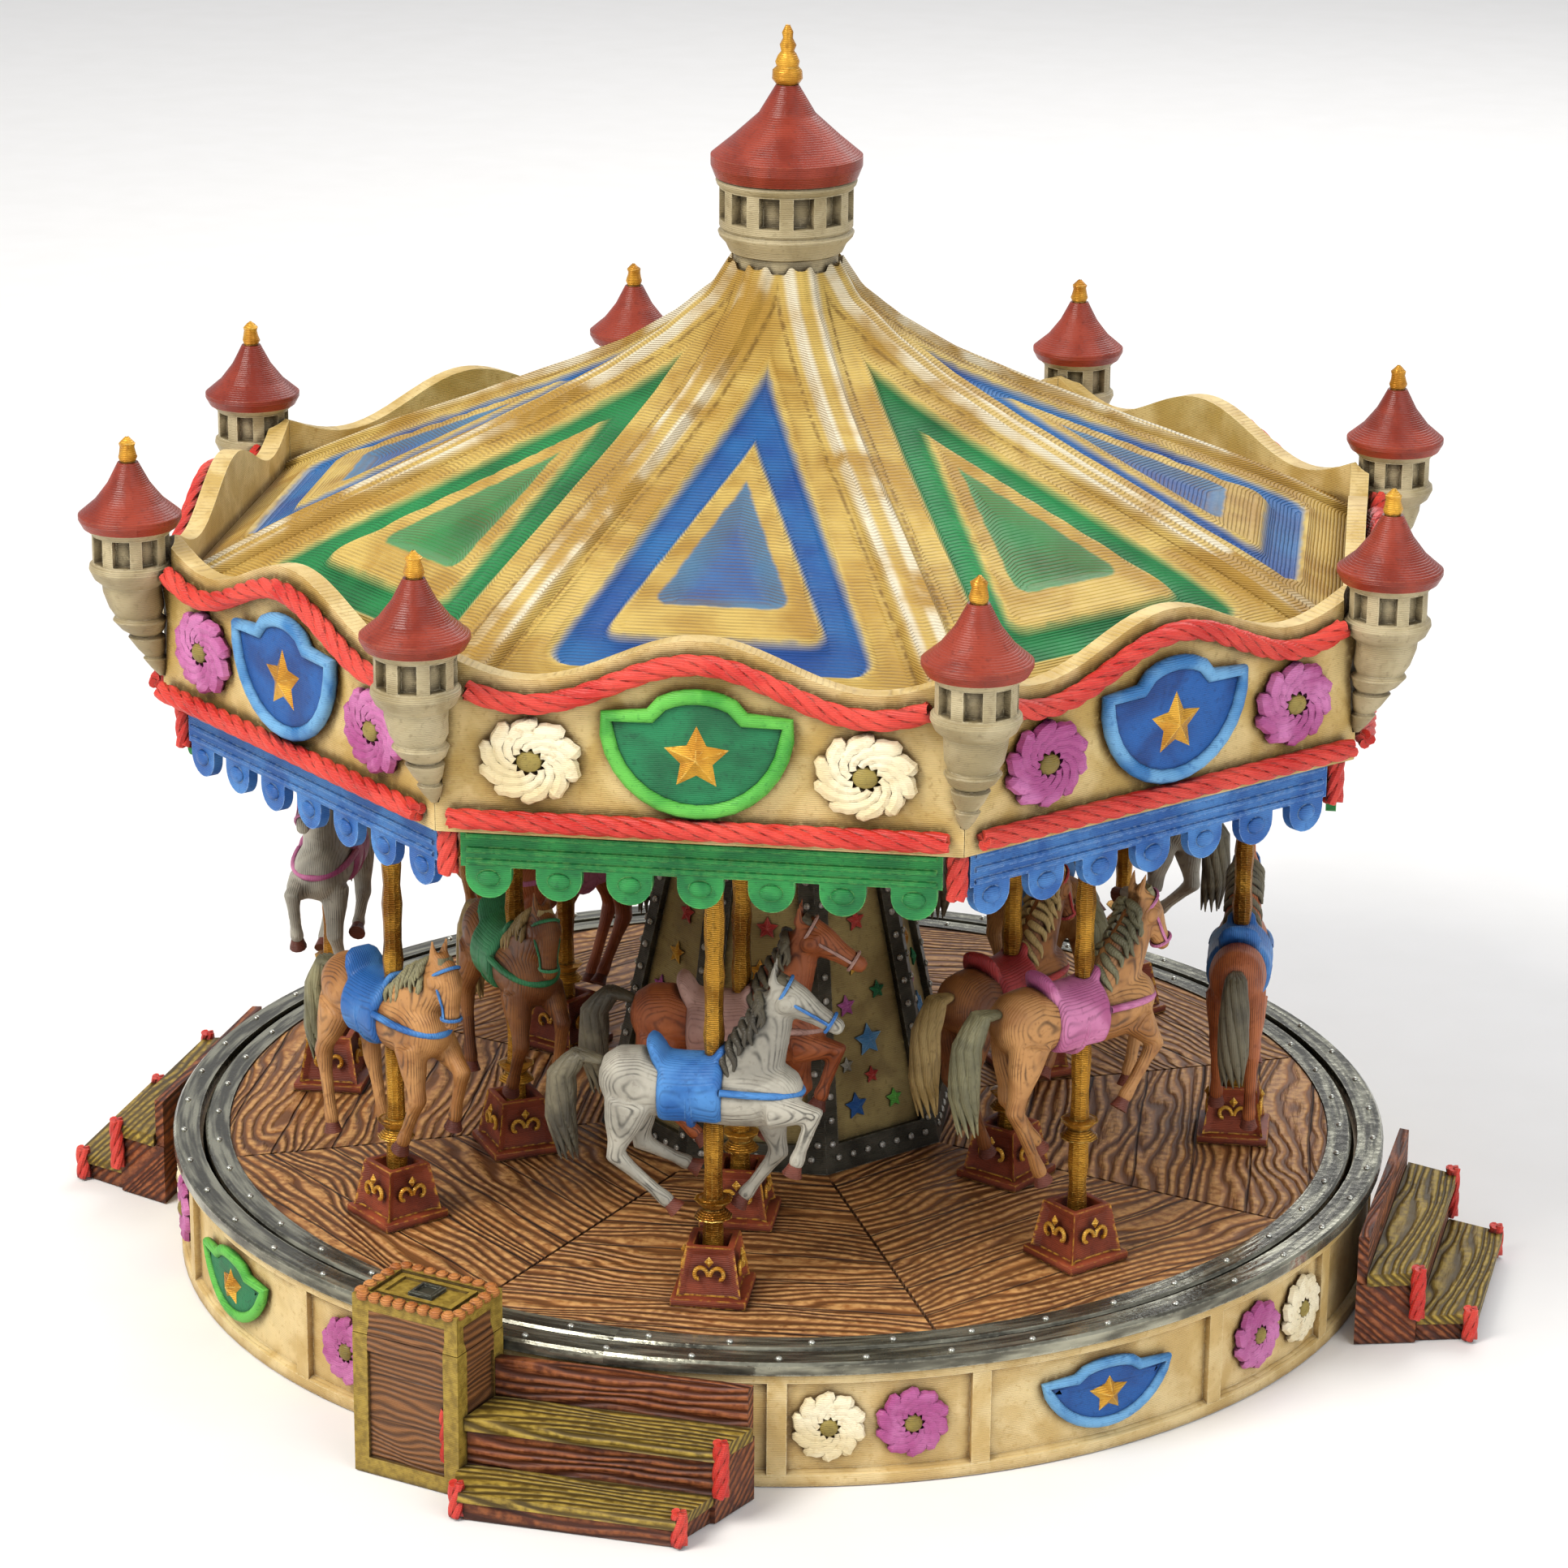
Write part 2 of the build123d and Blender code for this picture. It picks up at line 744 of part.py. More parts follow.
def roof_loft(drop, mode=Mode.ADD):
    """Lofts the eight-sided bell of the roof through its corner line, lowered by drop."""
    sections = []
    for section_radius, section_height in roof_line:
        with BuildSketch(Plane.XY.offset(section_height - drop)) as section:
            octagon(section_radius)
        sections.append(section.sketch)
    loft(sections, ruled=True, mode=mode)


with BuildPart() as canopy_roof:
    roof_loft(0.0)
    roof_loft(roof_thick, Mode.SUBTRACT)
    with BuildSketch(Plane.XY.offset(neck_height - roof_thick - 1.0)):
        Circle(mast_radius + seat_gap)
    extrude(amount=roof_thick + 2.0, mode=Mode.SUBTRACT)
write(canopy_roof, "canopy_roof")

rib_end_radius = 96.0
roof_eave_height = roof_line[-1][1]

with BuildPart() as roof_ribs:
    under_line = [(rib_end_radius, roof_eave_height + 0.05)]
    for line_radius, line_height in reversed(roof_line):
        if line_radius < rib_end_radius:
            under_line.append((line_radius, line_height - 2.5))
    for rib_index in range(side_count):
        rib_angle = rotor_turn + half_turn + rib_index * 360.0 / side_count
        with BuildSketch(Plane.XZ.rotated((0, 0, rib_angle - 90))):
            with BuildLine():
                Polyline(*rib_line, *under_line, close=True)
            make_face()
        extrude(amount=rib_width / 2, both=True)
    roof_loft(0.0, Mode.SUBTRACT)
write(roof_ribs, "roof_ribs")


# ---- turrets -------------------------------------------------------------------
# the corbel's sections: (height, shift along the radius, radius)
corbel = (
    (ceiling_base + 18.7, 0.0, 4.6),
    (ceiling_base + 13.9, -1.0, 4.2),
    (ceiling_base + 11.2, -2.0, 3.0),
    (ceiling_base + 7.4, -3.2, 1.8),
    (ceiling_base + 4.4, -4.2, 0.6),
)


def turret_shape(extra=0.0):
    """Adds one turret at the front corner to the open builder, grown by extra."""
    with BuildSketch(Plane.XZ) as profile:
        with BuildLine():
            Polyline(
                (0, corbel[0][0] - extra),
                (4.7 + extra, corbel[0][0] - extra),
                (4.7 + extra, ceiling_base + 19.9),
                (6.6 + extra, ceiling_base + 22.4),
                (6.5 + extra, ceiling_base + 23.8),
                (6.8 + extra, turret_top),
                (0, turret_top),
                close=True,
            )
        make_face()
    revolve(profile.sketch, axis=Axis.Z)
    # the corbel narrows in steps towards the corner below
    rounds = []
    for level, shift, corbel_radius in corbel:
        with BuildSketch(Plane.XY.offset(level)) as round_outline:
            with Locations((0, -shift)):
                Circle(corbel_radius + extra)
        rounds.append(round_outline.sketch)
    loft(rounds, ruled=True)


with BuildPart() as turret:
    turret_shape()

with BuildPart() as turret_space:
    turret_shape(seat_gap)

turret_places = []
for corner_index in range(side_count):
    corner_angle = rotor_turn + half_turn + corner_index * 360.0 / side_count
    turret_places.append(spot(turret_axis, corner_angle))

with BuildPart() as turret_bodies:
    with Locations(*turret_places):
        add(turret.part)
write(turret_bodies, "turret_bodies")

with BuildPart() as turret_cone:
    revolved([
        (0, turret_top),
        (turret_eave_radius - 0.7, turret_top),
        (turret_eave_radius, turret_top + 1.3),
        (turret_eave_radius, turret_top + 2.0),
        (5.4, ceiling_base + 33.2),
        (3.3, ceiling_base + 35.9),
        (1.6, finial_base),
        (0, finial_base),
    ])

with BuildPart() as turret_roofs:
    with Locations(*turret_places):
        add(turret_cone.part)
write(turret_roofs, "turret_roofs")

# ---- the turret on the crown, and the finials ----------------------------------
crown_drum_top = ceiling_base + 79.4
spire_base = ceiling_base + 93.8

with BuildPart() as crown_turret:
    revolved([
        (0, neck_height),
        (8.4, neck_height),
        (8.4, ceiling_base + 67.4),
        (9.6, ceiling_base + 69.0),
        (10.7, ceiling_base + 70.4),
        (11.3, ceiling_base + 73.0),
        (10.9, crown_drum_top),
        (0, crown_drum_top),
    ])
    with Locations((0, 0, crown_drum_top + 0.5)):
        with PolarLocations(11.6, 12):
            Box(2.0, 2.2, 15.0, mode=Mode.SUBTRACT)
    # its stem goes down through the roof and the ceiling
    with Locations((0, 0, stem_bottom)):
        Cylinder(
            mast_radius,
            neck_height - stem_bottom,
            align=(Align.CENTER, Align.CENTER, Align.MIN),
        )
write(crown_turret, "crown_turret")

with BuildPart() as crown_roof:
    revolved([
        (0, crown_drum_top),
        (11.3, crown_drum_top),
        (12.0, ceiling_base + 81.2),
        (12.0, ceiling_base + 82.8),
        (8.6, ceiling_base + 85.6),
        (4.5, ceiling_base + 89.3),
        (1.8, spire_base),
        (0, spire_base),
    ])
write(crown_roof, "crown_roof")

with BuildPart() as small_finial:
    revolved([
        (0, finial_base),
        (1.3, finial_base),
        (1.5, ceiling_base + 40.6),
        (1.2, ceiling_base + 42.0),
        (0.6, ceiling_base + 43.0),
        (0, ceiling_base + 43.4),
    ])

with BuildPart() as finials:
    with Locations(*turret_places):
        add(small_finial.part)
    revolved([
        (0, spire_base),
        (1.8, spire_base),
        (2.4, ceiling_base + 95.0),
        (2.2, ceiling_base + 96.2),
        (1.4, ceiling_base + 98.0),
        (0.9, ceiling_base + 100.6),
        (0.4, ceiling_base + 103.0),
        (0, ceiling_base + 103.4),
    ])
write(finials, "finials")

# ---- fascia --------------------------------------------------------------------
board_foot_half = ceiling_apothem * math.tan(math.radians(half_turn)) - edge_gap
board_face_half = fascia_face * math.tan(math.radians(half_turn)) - edge_gap


def wave_height(across, rise=0.0):
    """Height of the wavy line over a board at a distance from its middle."""
    return fascia_mid + rise + fascia_wave * math.cos(math.pi * across / fascia_wave_half)


def wave_points(half, rise=0.0, steps=16):
    points = []
    for index in range(steps + 1):
        across = -half + 2 * half * index / steps
        points.append((across, wave_height(across, rise)))
    return points


with BuildPart() as fascia_board:
    with BuildSketch(Plane.XY.offset(ceiling_base)):
        with BuildLine():
            Polyline(
                (-board_foot_half, -ceiling_apothem),
                (-board_face_half, -fascia_face),
                (board_face_half, -fascia_face),
                (board_foot_half, -ceiling_apothem),
                close=True,
            )
        make_face()
    extrude(amount=40.0)
    with BuildSketch(front_plane(ceiling_apothem - 1.0)):
        with BuildLine():
            edge = wave_points(board_face_half + 1.0)
            Spline(*edge)
            Polyline(
                edge[-1],
                (edge[-1][0], ceiling_base - 1.0),
                (edge[0][0], ceiling_base - 1.0),
                edge[0],
            )
        make_face()
    extrude(amount=fascia_thick + 3.0, mode=Mode.INTERSECT)

with BuildPart() as fascia_boards:
    with around(side_count, rotor_turn):
        add(fascia_board.part)
    with Locations(*turret_places):
        add(turret_space.part, mode=Mode.SUBTRACT)
write(fascia_boards, "fascia_boards")

rope_low_height = ceiling_base + 2.6
rope_half = 36.4
with BuildPart() as rope_pair:
    rope_end = (-rope_half, -fascia_face - rope_radius, rope_low_height)
    with BuildSketch(Plane(origin=rope_end, z_dir=(1, 0, 0))):
        Circle(rope_radius)
    extrude(amount=2 * rope_half)
    with BuildLine() as rope_path:
        path_points = []
        for across, height in wave_points(33.5, -3.2, 12):
            path_points.append((across, -fascia_face - rope_radius, height))
        Spline(*path_points)
    with BuildSketch(Plane(origin=rope_path.line @ 0, z_dir=rope_path.line % 0)):
        Circle(rope_radius)
    sweep(path=rope_path.line)

post_axis = corner_radius(valance_face) - 0.6
post_places = []
for corner_index in range(side_count):
    corner_angle = rotor_turn + half_turn + corner_index * 360.0 / side_count
    post_places.append(spot(post_axis, corner_angle, corner_post_bottom))

with BuildPart() as fascia_ropes:
    with around(side_count, rotor_turn):
        add(rope_pair.part)
    with Locations(*turret_places):
        add(turret_space.part, mode=Mode.SUBTRACT)
    # upright ends at the corners of the valance
    with Locations(*post_places):
        Cylinder(
            corner_post_radius,
            ceiling_base - edge_gap - corner_post_bottom,
            align=(Align.CENTER, Align.CENTER, Align.MIN),
        )
write(fascia_ropes, "fascia_ropes")

shield_middle = ceiling_base + 14.0
with BuildPart() as fascia_shield:
    with BuildSketch(front_plane(fascia_face, shield_middle)):
        shield_outline(28.4, 19.6)
    extrude(amount=1.2)
    with BuildSketch(front_plane(fascia_face + 1.2, shield_middle - 0.6)):
        star_outline(7.6)
    extrude(amount=0.8)

with BuildPart() as fascia_shields:
    with around(side_count, rotor_turn):
        add(fascia_shield.part)
write(fascia_shields, "fascia_shields")

rosette_place = 24.3
rosette_middle = ceiling_base + 11.8
with BuildPart() as fascia_rosette:
    with BuildSketch(front_plane(fascia_face, rosette_middle)):
        with Locations((-rosette_place, 0), (rosette_place, 0)):
            Ellipse(8.2, 6.7)
    extrude(amount=0.9)
    with BuildSketch(front_plane(fascia_face + 0.9, rosette_middle)):
        with Locations((-rosette_place, 0), (rosette_place, 0)):
            Ellipse(5.6, 4.4)
    extrude(amount=0.7)

with BuildPart() as fascia_rosettes:
    with around(side_count, rotor_turn):
        add(fascia_rosette.part)
    with Locations(*turret_places):
        add(turret_space.part, mode=Mode.SUBTRACT)
write(fascia_rosettes, "fascia_rosettes")

# ---- valances ------------------------------------------------------------------
lobe_pitch = 10.4
lobe_half = 3.4
valance_bottom = ceiling_base - valance_drop

with BuildPart() as valance:
    band_bottom = ceiling_base - valance_band
    lobe_middle = valance_bottom + lobe_half
    with BuildSketch(front_plane(valance_face - valance_thick)):
        with BuildLine():
            Polyline(
                (-valance_half, band_bottom),
                (-valance_half, ceiling_base),
                (valance_half, ceiling_base),
                (valance_half, band_bottom),
            )
            reached = (valance_half, band_bottom)
            for lobe_index in reversed(range(lobe_count)):
                lobe_place = (lobe_index - (lobe_count - 1) / 2) * lobe_pitch
                right = lobe_place + lobe_half
                left = lobe_place - lobe_half
                Polyline(reached, (right, band_bottom), (right, lobe_middle))
                ThreePointArc((right, lobe_middle), (lobe_place, valance_bottom), (left, lobe_middle))
                Line((left, lobe_middle), (left, band_bottom))
                reached = (left, band_bottom)
            Line(reached, (-valance_half, band_bottom))
        make_face()
    extrude(amount=valance_thick)
    with BuildSketch(front_plane(valance_face - 0.5)):
        for groove in (2.2, 4.0):
            with Locations((0, ceiling_base - groove)):
                Rectangle(2 * valance_half - 4.0, 0.8)
    extrude(amount=1.0, mode=Mode.SUBTRACT)

with BuildPart() as valances:
    with around(side_count, rotor_turn):
        add(valance.part)
write(valances, "valances")

# ================================================================= horses ========
# A horse stands with its pole on Z, faces +X and has its zero height at the lug.
torso = (
    (-17.4, 20.4, 1.4, 1.4),
    (-16.0, 20.4, 4.0, 3.6),
    (-11.5, 20.2, 5.4, 4.7),
    (-4.0, 19.0, 4.9, 4.4),
    (3.0, 18.9, 5.3, 4.6),
    (8.6, 19.2, 5.2, 4.2),
    (12.0, 19.4, 3.6, 3.0),
    (13.6, 19.6, 1.4, 1.4),
)
# each limb: the points of its line as (forward, across, up, radius)
gallop = {
    "neck": ((8.6, 0, 21.6, 4.0), (11.0, 0, 28.6, 2.9), (12.4, 0, 33.2, 2.4)),
    "head": ((11.0, 0, 36.0, 2.2), (13.6, 0, 34.2, 2.6), (19.0, 0, 31.2, 1.6)),
    "ears": ((9.8, 0.9, 39.6), (9.8, -0.9, 39.6)),
    "ear_root": (10.6, 36.4),
    "legs": (
        ((8.6, -2.6, 17.4, 2.9), (15.6, -2.8, 17.6, 1.6), (13.0, -2.8, 9.4, 1.3)),
        ((7.8, 2.6, 16.6, 2.9), (9.6, 2.8, 8.6, 1.6), (4.6, 2.8, 1.4, 1.3)),
        ((-12.6, -2.6, 17.6, 3.6), (-13.6, -2.8, 9.0, 1.9), (-5.6, -2.8, 1.2, 1.2)),
        ((-12.0, 2.6, 17.6, 3.6), (-10.0, 3.2, 9.6, 1.9), (-4.6, 3.8, 5.4, 1.2)),
    ),
    "tail": ((-16.6, 0, 22.6, 1.5), (-21.0, 0, 23.4, 1.7), (-23.6, 0, 18.6, 1.6), (-22.2, 0, 7.2, 0.9)),
}
canter = {
    "neck": ((8.6, 0, 21.6, 4.0), (11.4, 0, 28.4, 2.9), (12.4, 0, 32.6, 2.4)),
    "head": ((11.2, 0, 35.2, 2.2), (13.2, 0, 33.0, 2.6), (15.6, 0, 27.4, 1.6)),
    "ears": ((11.0, 0.9, 38.8), (11.0, -0.9, 38.8)),
    "ear_root": (11.2, 35.8),
    "legs": (
        ((8.6, -2.6, 17.2, 2.9), (12.6, -2.8, 12.2, 1.6), (6.8, -2.8, 4.6, 1.3)),
        ((8.2, 2.6, 17.0, 2.9), (14.0, 2.8, 13.6, 1.6), (12.4, 2.8, 5.6, 1.3)),
        ((-12.6, -2.6, 17.4, 3.6), (-15.6, -2.8, 7.4, 1.9), (-10.4, -2.8, -4.0, 1.2)),
        ((-12.0, 2.6, 17.4, 3.6), (-12.4, 2.8, 7.0, 1.9), (-6.6, 2.8, -1.6, 1.2)),
    ),
    "tail": ((-16.6, 0, 22.6, 1.5), (-20.6, 0, 22.6, 1.7), (-23.4, 0, 15.0, 1.6), (-22.4, 0, 4.4, 0.9)),
}
trot = {
    "neck": ((9.0, 0, 21.4, 4.0), (13.0, 0, 26.6, 3.0), (14.8, 0, 29.6, 2.6)),
    "head": ((14.0, 0, 31.6, 2.2), (15.8, 0, 29.0, 2.6), (16.0, 0, 22.6, 1.6)),
    "ears": ((13.6, 0.9, 35.0), (13.6, -0.9, 35.0)),
    "ear_root": (13.8, 31.8),
    "legs": (
        ((8.6, -2.6, 17.0, 2.9), (10.6, -2.8, 8.6, 1.6), (6.4, -2.8, 0.6, 1.3)),
        ((8.6, 2.6, 17.2, 2.9), (14.8, 2.8, 13.4, 1.6), (12.6, 2.8, 5.4, 1.3)),
        ((-12.6, -2.6, 17.4, 3.6), (-16.6, -2.8, 8.4, 1.9), (-14.6, -2.8, -2.8, 1.2)),
        ((-12.0, 2.6, 17.4, 3.6), (-11.0, 2.8, 8.0, 1.9), (-8.0, 2.8, -1.8, 1.2)),
    ),
    "tail": ((-16.6, 0, 22.4, 1.5), (-19.8, 0, 21.6, 1.7), (-22.0, 0, 14.0, 1.6), (-21.4, 0, 5.0, 0.9)),
}
hoof_height = 2.2


def cone_between(start, end, start_radius, end_radius):
    """Adds a tapered bar between two points to the open builder."""
    line = Vector(*end) - Vector(*start)
    with Locations(Plane(origin=start, z_dir=line)):
        Cone(
            start_radius,
            end_radius,
            line.length,
            align=(Align.CENTER, Align.CENTER, Align.MIN),
        )


def limb(points):
    """Adds tapered bars along a line of (x, y, z, radius), with round joints."""
    for first, second in zip(points, points[1:]):
        cone_between(first[:3], second[:3], first[3], second[3])
    for point in points[1:]:
        with Locations(point[:3]):
            Sphere(point[3] * 1.03)


def horse_shape(style):
    """Adds a horse in one of the three gaits to the open builder."""
    sections = []
    for forward, height, half_high, half_wide in torso:
        section_plane = Plane(origin=(forward, 0, height), x_dir=(0, 1, 0), z_dir=(1, 0, 0))
        with BuildSketch(section_plane) as section:
            Ellipse(half_wide, half_high)
        sections.append(section.sketch)
    loft(sections)
    limb(style["neck"])
    limb(style["head"])
    limb(style["tail"])
    for leg in style["legs"]:
        limb(leg)
        foot = Vector(*leg[-1][:3])
        shin = (foot - Vector(*leg[-2][:3])).normalized()
        toe = foot + shin * hoof_height
        cone_between(tuple(foot), tuple(toe), leg[-1][3] * 0.9, leg[-1][3] * 1.25)
    root_x, root_z = style["ear_root"]
    for tip in style["ears"]:
        cone_between((root_x, tip[1], root_z), tip, 1.1, 0.3)


def saddle_shape():
    """Adds the saddle with its raised back and its girth to the open builder."""
    with BuildSketch(Plane(origin=(-7.6, 0, 19.6), x_dir=(0, 1, 0), z_dir=(1, 0, 0))) as blanket:
        Ellipse(5.3, 5.5)
        with Locations((0, -5.6)):
            Rectangle(14.0, 6.4, mode=Mode.SUBTRACT)
    extrude(blanket.sketch, amount=9.2)
    cone_between((-9.6, 0, 26.6), (-8.2, 0, 22.0), 1.2, 2.6)


horse_parts = {}
with BuildPart() as gallop_horse:
    horse_shape(gallop)
    saddle_shape()
    Cylinder(pole_radius + glue_fit, 120.0, mode=Mode.SUBTRACT)
horse_parts["gallop"] = gallop_horse

with BuildPart() as canter_horse:
    horse_shape(canter)
    saddle_shape()
    Cylinder(pole_radius + glue_fit, 120.0, mode=Mode.SUBTRACT)
horse_parts["canter"] = canter_horse

with BuildPart() as trot_horse:
    horse_shape(trot)
    saddle_shape()
    Cylinder(pole_radius + glue_fit, 120.0, mode=Mode.SUBTRACT)
horse_parts["trot"] = trot_horse

outer_gaits = ("gallop", "canter", "trot", "gallop", "trot", "canter", "gallop", "trot")
inner_gaits = ("gallop", "canter", "gallop", "trot", "canter", "trot")


def outer_lift(index):
    """Height of an outer pole above its lowest place, at rest."""
    turn = wave_start + wave_count * index * 360.0 / outer_count
    return wave_mean + wave_swing * math.cos(math.radians(turn))


# a pole at its lowest place: its axis on Z
with BuildPart() as pole:
    with Locations((0, 0, foot_top_low - foot_height)):
        Cylinder(
            pole_radius,
            pole_top_low - foot_top_low + foot_height,
            align=(Align.CENTER, Align.CENTER, Align.MIN),
        )
        Cylinder(
            foot_radius,
            foot_height,
            align=(Align.CENTER, Align.CENTER, Align.MIN),
        )
    with Locations((0, 0, lug_low)):
        Cone(lug_radius, pole_radius * 0.8, lug_half_height, align=(Align.CENTER, Align.CENTER, Align.MIN))
        Cone(pole_radius * 0.8, lug_radius, lug_half_height, align=(Align.CENTER, Align.CENTER, Align.MAX))

for pole_index in range(outer_count + inner_count):
    place_radius, place_angle = pole_places()[pole_index]
    if pole_index < outer_count:
        row_name = "outer_" + str(pole_index + 1)
        lift = outer_lift(pole_index)
        gait = outer_gaits[pole_index]
        horse_height = lug_low + lift
    else:
        row_name = "inner_" + str(pole_index - outer_count + 1)
        lift = inner_lift
        gait = inner_gaits[pole_index - outer_count]
        horse_height = lug_low + lift
    with BuildPart() as raised_pole:
        with Locations(spot(place_radius, place_angle, lift)):
            add(pole.part)
    write(raised_pole, "pole_" + row_name)
    with BuildPart() as horse:
        with Locations(spot(place_radius, place_angle, horse_height)):
            add(horse_parts[gait].part)
    write(horse, "horse_" + row_name)
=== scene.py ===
"""Looks of a hand-painted table-top merry-go-round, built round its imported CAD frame."""
import math

import bpy
from mathutils import Matrix, Vector


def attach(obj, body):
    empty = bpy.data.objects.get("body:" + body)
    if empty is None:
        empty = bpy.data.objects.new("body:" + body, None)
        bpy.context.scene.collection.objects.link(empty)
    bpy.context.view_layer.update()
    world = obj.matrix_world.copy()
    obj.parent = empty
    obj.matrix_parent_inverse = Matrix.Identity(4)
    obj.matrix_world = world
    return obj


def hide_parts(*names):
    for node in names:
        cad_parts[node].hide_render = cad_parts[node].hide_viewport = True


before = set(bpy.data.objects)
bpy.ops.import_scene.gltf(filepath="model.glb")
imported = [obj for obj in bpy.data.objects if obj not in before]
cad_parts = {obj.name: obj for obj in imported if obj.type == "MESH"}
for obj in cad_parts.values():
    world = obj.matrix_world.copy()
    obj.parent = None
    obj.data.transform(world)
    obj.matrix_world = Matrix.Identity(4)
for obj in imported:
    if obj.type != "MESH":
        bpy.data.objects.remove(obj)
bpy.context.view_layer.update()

# ============================================================== measures =========
# Lengths are given in millimetres and brought to Blender's metres by MM where a mesh or a
# paint takes them. Angles are counted from -Y towards +X.
MM = 0.001
SIDES = 8
STEP = math.radians(45.0)
HALF_SIDE = math.radians(22.5)
ROTOR_TURN = math.radians(7.4)
LAYER = 0.3
MERGE = 0.005

DECK_TOP, COLUMN_TOP = 20.2, 98.6
FOOT_RADIUS, HEAD_RADIUS = 30.5, 13.5
FASCIA_FACE, VALANCE_FACE, DRUM_FACE = 93.0, 89.0, 98.8
SHIELD_HEIGHT, ROSETTE_HEIGHT, ROSETTE_SIDE, DRUM_MIDDLE = 112.6, 110.4, 24.3, 9.6
OUTER_ROW, INNER_ROW = 76.0, 46.5
TURRET_ROW = 105.0
BOOTH_TURN = math.radians(-14.05)
BOOTH_REACH = 107.6


def colour(code):
    """A paint colour from its six-digit code, as the shaders want it."""
    parts = [int(code[i:i + 2], 16) / 255 for i in (0, 2, 4)]
    linear = [c / 12.92 if c <= 0.04045 else ((c + 0.055) / 1.055) ** 2.4 for c in parts]
    return (*linear, 1.0)


# ================================================================ finishes =======

class Finish:
    """One material, built node by node from procedural textures in metres."""

    def __init__(self, name):
        self.material = bpy.data.materials.new(name)
        self.material.use_nodes = True
        self.tree = self.material.node_tree
        self.tree.nodes.clear()
        output = self.tree.nodes.new("ShaderNodeOutputMaterial")
        self.shader = self.tree.nodes.new("ShaderNodeBsdfPrincipled")
        self.tree.links.new(self.shader.outputs[0], output.inputs[0])
        self.place = self.tree.nodes.new("ShaderNodeTexCoord").outputs["Object"]

    def put(self, socket, value):
        if isinstance(value, bpy.types.NodeSocket):
            self.tree.links.new(value, socket)
        else:
            socket.default_value = value

    def math(self, operation, first, second=0.0, third=0.0):
        node = self.tree.nodes.new("ShaderNodeMath")
        node.operation = operation
        for socket, value in zip(node.inputs, (first, second, third)):
            self.put(socket, value)
        return node.outputs[0]

    def plus(self, first, second):
        return self.math("ADD", first, second)

    def minus(self, first, second):
        return self.math("SUBTRACT", first, second)

    def times(self, first, second):
        return self.math("MULTIPLY", first, second)

    def times_plus(self, first, second, third):
        return self.math("MULTIPLY_ADD", first, second, third)

    def size(self, value):
        return self.math("ABSOLUTE", value)

    def reach(self, x, y):
        """The distance from the axis."""
        return self.math("SQRT", self.plus(self.times(x, x), self.times(y, y)))

    def mix(self, share, first, second):
        """From the first colour at share 0 to the second at 1."""
        node = self.tree.nodes.new("ShaderNodeMix")
        node.data_type = "RGBA"
        self.put(node.inputs["Factor"], share)
        self.put(node.inputs[6], first)
        self.put(node.inputs[7], second)
        return node.outputs[2]

    def cover(self, paint, mask, code):
        """Lays a colour over the paint where the mask is 1."""
        return self.mix(mask, paint, colour(code))

    def noise(self, vector, scale, detail=3.0, distortion=0.0):
        node = self.tree.nodes.new("ShaderNodeTexNoise")
        self.put(node.inputs["Vector"], vector)
        self.put(node.inputs["Scale"], scale)
        self.put(node.inputs["Detail"], detail)
        self.put(node.inputs["Distortion"], distortion)
        return node.outputs[0]

    def ramp(self, value, low, high, top=1.0):
        """From 0 at low to top at high, held flat outside."""
        node = self.tree.nodes.new("ShaderNodeMapRange")
        node.interpolation_type = "SMOOTHSTEP"
        for socket, number in zip(node.inputs, (value, low, high, 0.0, top)):
            self.put(socket, number)
        return node.outputs[0]

    def split(self, vector):
        node = self.tree.nodes.new("ShaderNodeSeparateXYZ")
        self.put(node.inputs[0], vector)
        return node.outputs

    def join(self, x, y, z):
        node = self.tree.nodes.new("ShaderNodeCombineXYZ")
        for socket, value in zip(node.inputs, (x, y, z)):
            self.put(socket, value)
        return node.outputs[0]

    def attribute(self, name):
        node = self.tree.nodes.new("ShaderNodeAttribute")
        node.attribute_name = name
        return node.outputs["Fac"]

    def fold(self, step, turn):
        """Places that repeat round the axis: across, outwards, up and the sector's number."""
        x, y, z = self.split(self.place)
        angle = self.minus(self.math("ARCTAN2", x, self.times(y, -1.0)), turn)
        sector = self.math("ROUND", self.math("DIVIDE", angle, step))
        local = self.minus(angle, self.times(sector, step))
        reach = self.reach(x, y)
        across = self.times(reach, self.math("SINE", local))
        outwards = self.times(reach, self.math("COSINE", local))
        return across, outwards, z, sector

    def recess_wash_and_shade(self, reach):
        """1 deep in corners, recesses and between parts, 0 on open faces: ambient occlusion, for the dark
        wash and the painted shade there.
        """
        node = self.tree.nodes.new("ShaderNodeAmbientOcclusion")
        node.samples = 6
        node.inputs["Distance"].default_value = reach
        return self.ramp(node.outputs["AO"], 0.92, 0.45)

    def edge(self, radius):
        """1 on sharp edges, 0 on flat faces."""
        bevel = self.tree.nodes.new("ShaderNodeBevel")
        bevel.samples = 4
        bevel.inputs["Radius"].default_value = radius
        normal = self.tree.nodes.new("ShaderNodeNewGeometry").outputs["Normal"]
        dot = self.tree.nodes.new("ShaderNodeVectorMath")
        dot.operation = "DOT_PRODUCT"
        self.put(dot.inputs[0], bevel.outputs[0])
        self.put(dot.inputs[1], normal)
        return self.ramp(dot.outputs["Value"], 0.985, 0.85)

    def stripes(self, value, pitch, low=0.45, high=1.0):
        """Soft parallel lines, one every pitch of value."""
        wave = self.math("PINGPONG", self.math("DIVIDE", value, pitch), 0.5)
        return self.ramp(wave, low * 0.5, high * 0.5)

